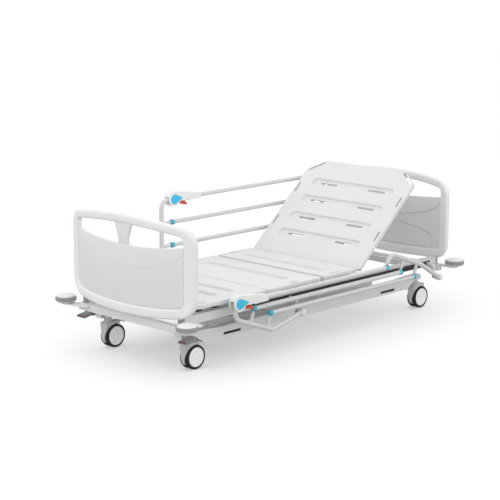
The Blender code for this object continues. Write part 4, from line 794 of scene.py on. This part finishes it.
for side, fold in FOLD.items():
    for end, standoff in (("foot", -RAIL_STANDOFF), ("head", RAIL_STANDOFF)):
        node = f"rail_post_{end}_{side}"
        pivot = joint_place(node)
        joints = [pivot + Vector((-RAIL_JOINT_OFFSET, 0, height)) for height in RAIL_HEIGHTS]
        post_x = pivot.x - RAIL_JOINT_OFFSET + standoff
        neck = Vector((math.copysign(FORK_SWING, -standoff), 0, 0))
        path = [pivot, Vector((post_x, pivot.y, pivot.z + POST_BEND)),
                Vector((post_x, pivot.y, joints[0].z)), joints[0] - neck]
        parts = [(bent_tube(path, 0.050, 0.013), tube_coat)]
        for joint in joints:
            if joint is not joints[0]:
                parts.append((rod(Vector((post_x, pivot.y, joint.z)), joint - neck, 0.0095), tube_coat))
            x = sorted((joint.x - 1.5 * neck.x, joint.x))
            tongue = block(x, (joint.y - 0.003, joint.y + 0.003),
                           (joint.z - 0.0075, joint.z + 0.0075), 0.0006)
            parts.append((tongue, tube_coat))
            parts.append((rod(joint - across * 0.003, joint + across * 0.003, 0.0095, 0.0006), tube_coat))
        outward = across * (1 if side == "left" else -1)
        parts.append((rod(pivot - outward * 0.015, pivot + outward * 0.017, 0.018, 0.003), tube_coat))
        parts.append((rod(pivot + outward * 0.0165, pivot + outward * 0.0205, 0.0135, 0.0015), cap_white))
        for shape, finish in parts:
            bmesh.ops.transform(shape, matrix=rotation_y(fold, pivot), verts=shape.verts)
        new_piece(node + "_tube", node, parts, (node,))


def sleeve(joint, way):
    """A forked sleeve round a joint; way points from the joint into the bar."""
    tip = joint - Vector((way * 0.013, 0, 0))
    ring = rod(tip, tip + Vector((way * 0.021, 0, 0)), 0.0150, 0.0022)
    root = rod(tip + Vector((way * 0.019, 0, 0)), tip + Vector((way * 0.033, 0, 0)), 0.0128, 0.0015)
    shapes = []
    for shape in (ring, root):
        gap = block(sorted((joint.x - way * 0.03, joint.x + way * 0.0125)),
                    (joint.y - 0.0036, joint.y + 0.0036), (joint.z - 0.03, joint.z + 0.03))
        shapes.append(carve(shape, gap))
    return [(shapes[0], sleeve_teal), (shapes[1], tube_coat)]


for side in FOLD:
    for number in (1, 2, 3):
        node = f"rail_bar_{side}_{number}"
        foot = joint_place(node)
        head = foot + Vector((BAR_LENGTH, 0, 0))
        latched = number == 1
        start = foot + Vector((0.100 if latched else -0.008, 0, 0))
        start = start + Vector((0 if latched else 0.0215, 0, 0))
        parts = [(rod(start, head - Vector((0.0135, 0, 0)), 0.0115), tube_coat)]
        parts += sleeve(head, -1)
        if not latched:
            parts += sleeve(foot, 1)
        for joint in ([head] if latched else [head, foot]):
            for face in (-1, 1):
                pin_head = rod(joint + across * face * 0.0135, joint + across * face * 0.0158, 0.0042, 0.0008)
                parts.append((pin_head, sleeve_teal))
        new_piece(node + "_tube", node, parts, (node,))


# ---------------------------------------------------------------- latches
# The top tube's foot end carries a white ABS release housing, with a blue push button in each
# face and an orange lever with a broad finger pad under it.
HOUSING_SLIMMING = 0.78
BUTTON_INNER_FACE = 0.0203
PAD_WIDTH = 0.040
RECESS_GROWTH = 1.035
POST_POCKET = ((-0.100, 0.017), 0.0145, 0.015)
LEVER_SLOT = ((0.020, 0.100), 0.0105, -0.0085)
PAD_POCKET = ((0.038, 0.102), 0.030, -0.0120)
latch_white = moulded("moulded_latch_white", "#f2f3f3", "#ebecec", 0.36)
button_blue = moulded("moulded_button_blue", "#40c9f3", "#38c0ec", 0.30)
lever_orange = moulded("moulded_lever_orange", "#e2581f", "#d54f1a", 0.36)


def stretched(middle, factors):
    """The matrix that scales about the point middle."""
    return Matrix.Translation(middle) @ Matrix.Diagonal((*factors, 1)) @ Matrix.Translation(-middle)


for side in FOLD:
    low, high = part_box("latch_housing_" + side)
    middle_y = (low.y + high.y) / 2
    middle = Vector((0, middle_y, 0))
    over = stretched(middle, (1, -1, 1))
    slim = stretched(middle, (1, HOUSING_SLIMMING, 1))
    cap_low, cap_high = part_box("latch_button_" + side)
    heart = Vector((cap_low.x + 0.026, 0, (cap_low.z + cap_high.z) / 2))
    grow = stretched(heart, (RECESS_GROWTH, 1, RECESS_GROWTH))
    housing = merged("latch_housing_" + side)
    recess = merged("latch_button_" + side)
    bmesh.ops.transform(recess, matrix=grow @ over, verts=recess.verts)
    housing = round_edges(carve(housing, recess), 0.004, 4)
    bmesh.ops.transform(housing, matrix=slim, verts=housing.verts)
    for x, half_y, top in (POST_POCKET, LEVER_SLOT, PAD_POCKET):
        housing = carve(housing, block([heart.x + step for step in x], (middle_y - half_y, middle_y + half_y),
                                       (heart.z - 0.100, heart.z + top)))
    new_piece("latch_housing_shell_" + side, body_of["latch_housing_" + side], [(housing, latch_white)],
              ("latch_housing_" + side,))
    cap, twin = (round_edges(merged("latch_button_" + side), 0.0015, 3) for face in range(2))
    bmesh.ops.transform(twin, matrix=over, verts=twin.verts)
    for made in (cap, twin):
        bmesh.ops.transform(made, matrix=slim, verts=made.verts)
        for vert in made.verts:
            if abs(vert.co.y - middle_y) < BUTTON_INNER_FACE:
                vert.co.y = middle_y + math.copysign(BUTTON_INNER_FACE, vert.co.y - middle_y)
    new_piece("latch_buttons_" + side, body_of["latch_button_" + side],
              [(cap, button_blue), (twin, button_blue)], ("latch_button_" + side,))
    arm = round_edges(merged("latch_lever_" + side), 0.002, 3)
    pad = thickened(flat_face(((heart.x + 0.046, heart.z - 0.0205), (heart.x + 0.094, heart.z - 0.0268),
                               (heart.x + 0.094, heart.z - 0.0370), (heart.x + 0.084, heart.z - 0.0400),
                               (heart.x + 0.046, heart.z - 0.0300)), (0, 0.002, 0.002, 0.002, 0.002), "Y"),
                    (0, PAD_WIDTH, 0))
    bmesh.ops.translate(pad, verts=pad.verts, vec=(0, middle_y - PAD_WIDTH / 2, 0))
    new_piece("latch_lever_" + side + "_shell", body_of["latch_lever_" + side],
              [(arm, lever_orange), (round_edges(pad, 0.0015, 3), lever_orange)],
              ("latch_lever_" + side,))


# ---------------------------------------------------------------- control box
# A black ABS box under the calf end, for the supply of the drives. Its lid takes four screws.
box_black = moulded("moulded_box_black", "#2a2b2e", "#232427", 0.52, grain=0.0018)
low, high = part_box("control_box")
lid = block((low.x + 0.004, high.x - 0.004), (low.y + 0.004, high.y - 0.004),
            (low.z - 0.003, low.z + 0.002), 0.0012)
screws = [(rod(Vector((x, y, low.z - 0.0042)), Vector((x, y, low.z - 0.0020)), 0.004, 0.0008), shaft_steel)
          for x in (low.x + 0.014, high.x - 0.014) for y in (low.y + 0.014, high.y - 0.014)]
softened("control_box", 0.004, box_black, 3, [(lid, box_black), *screws])
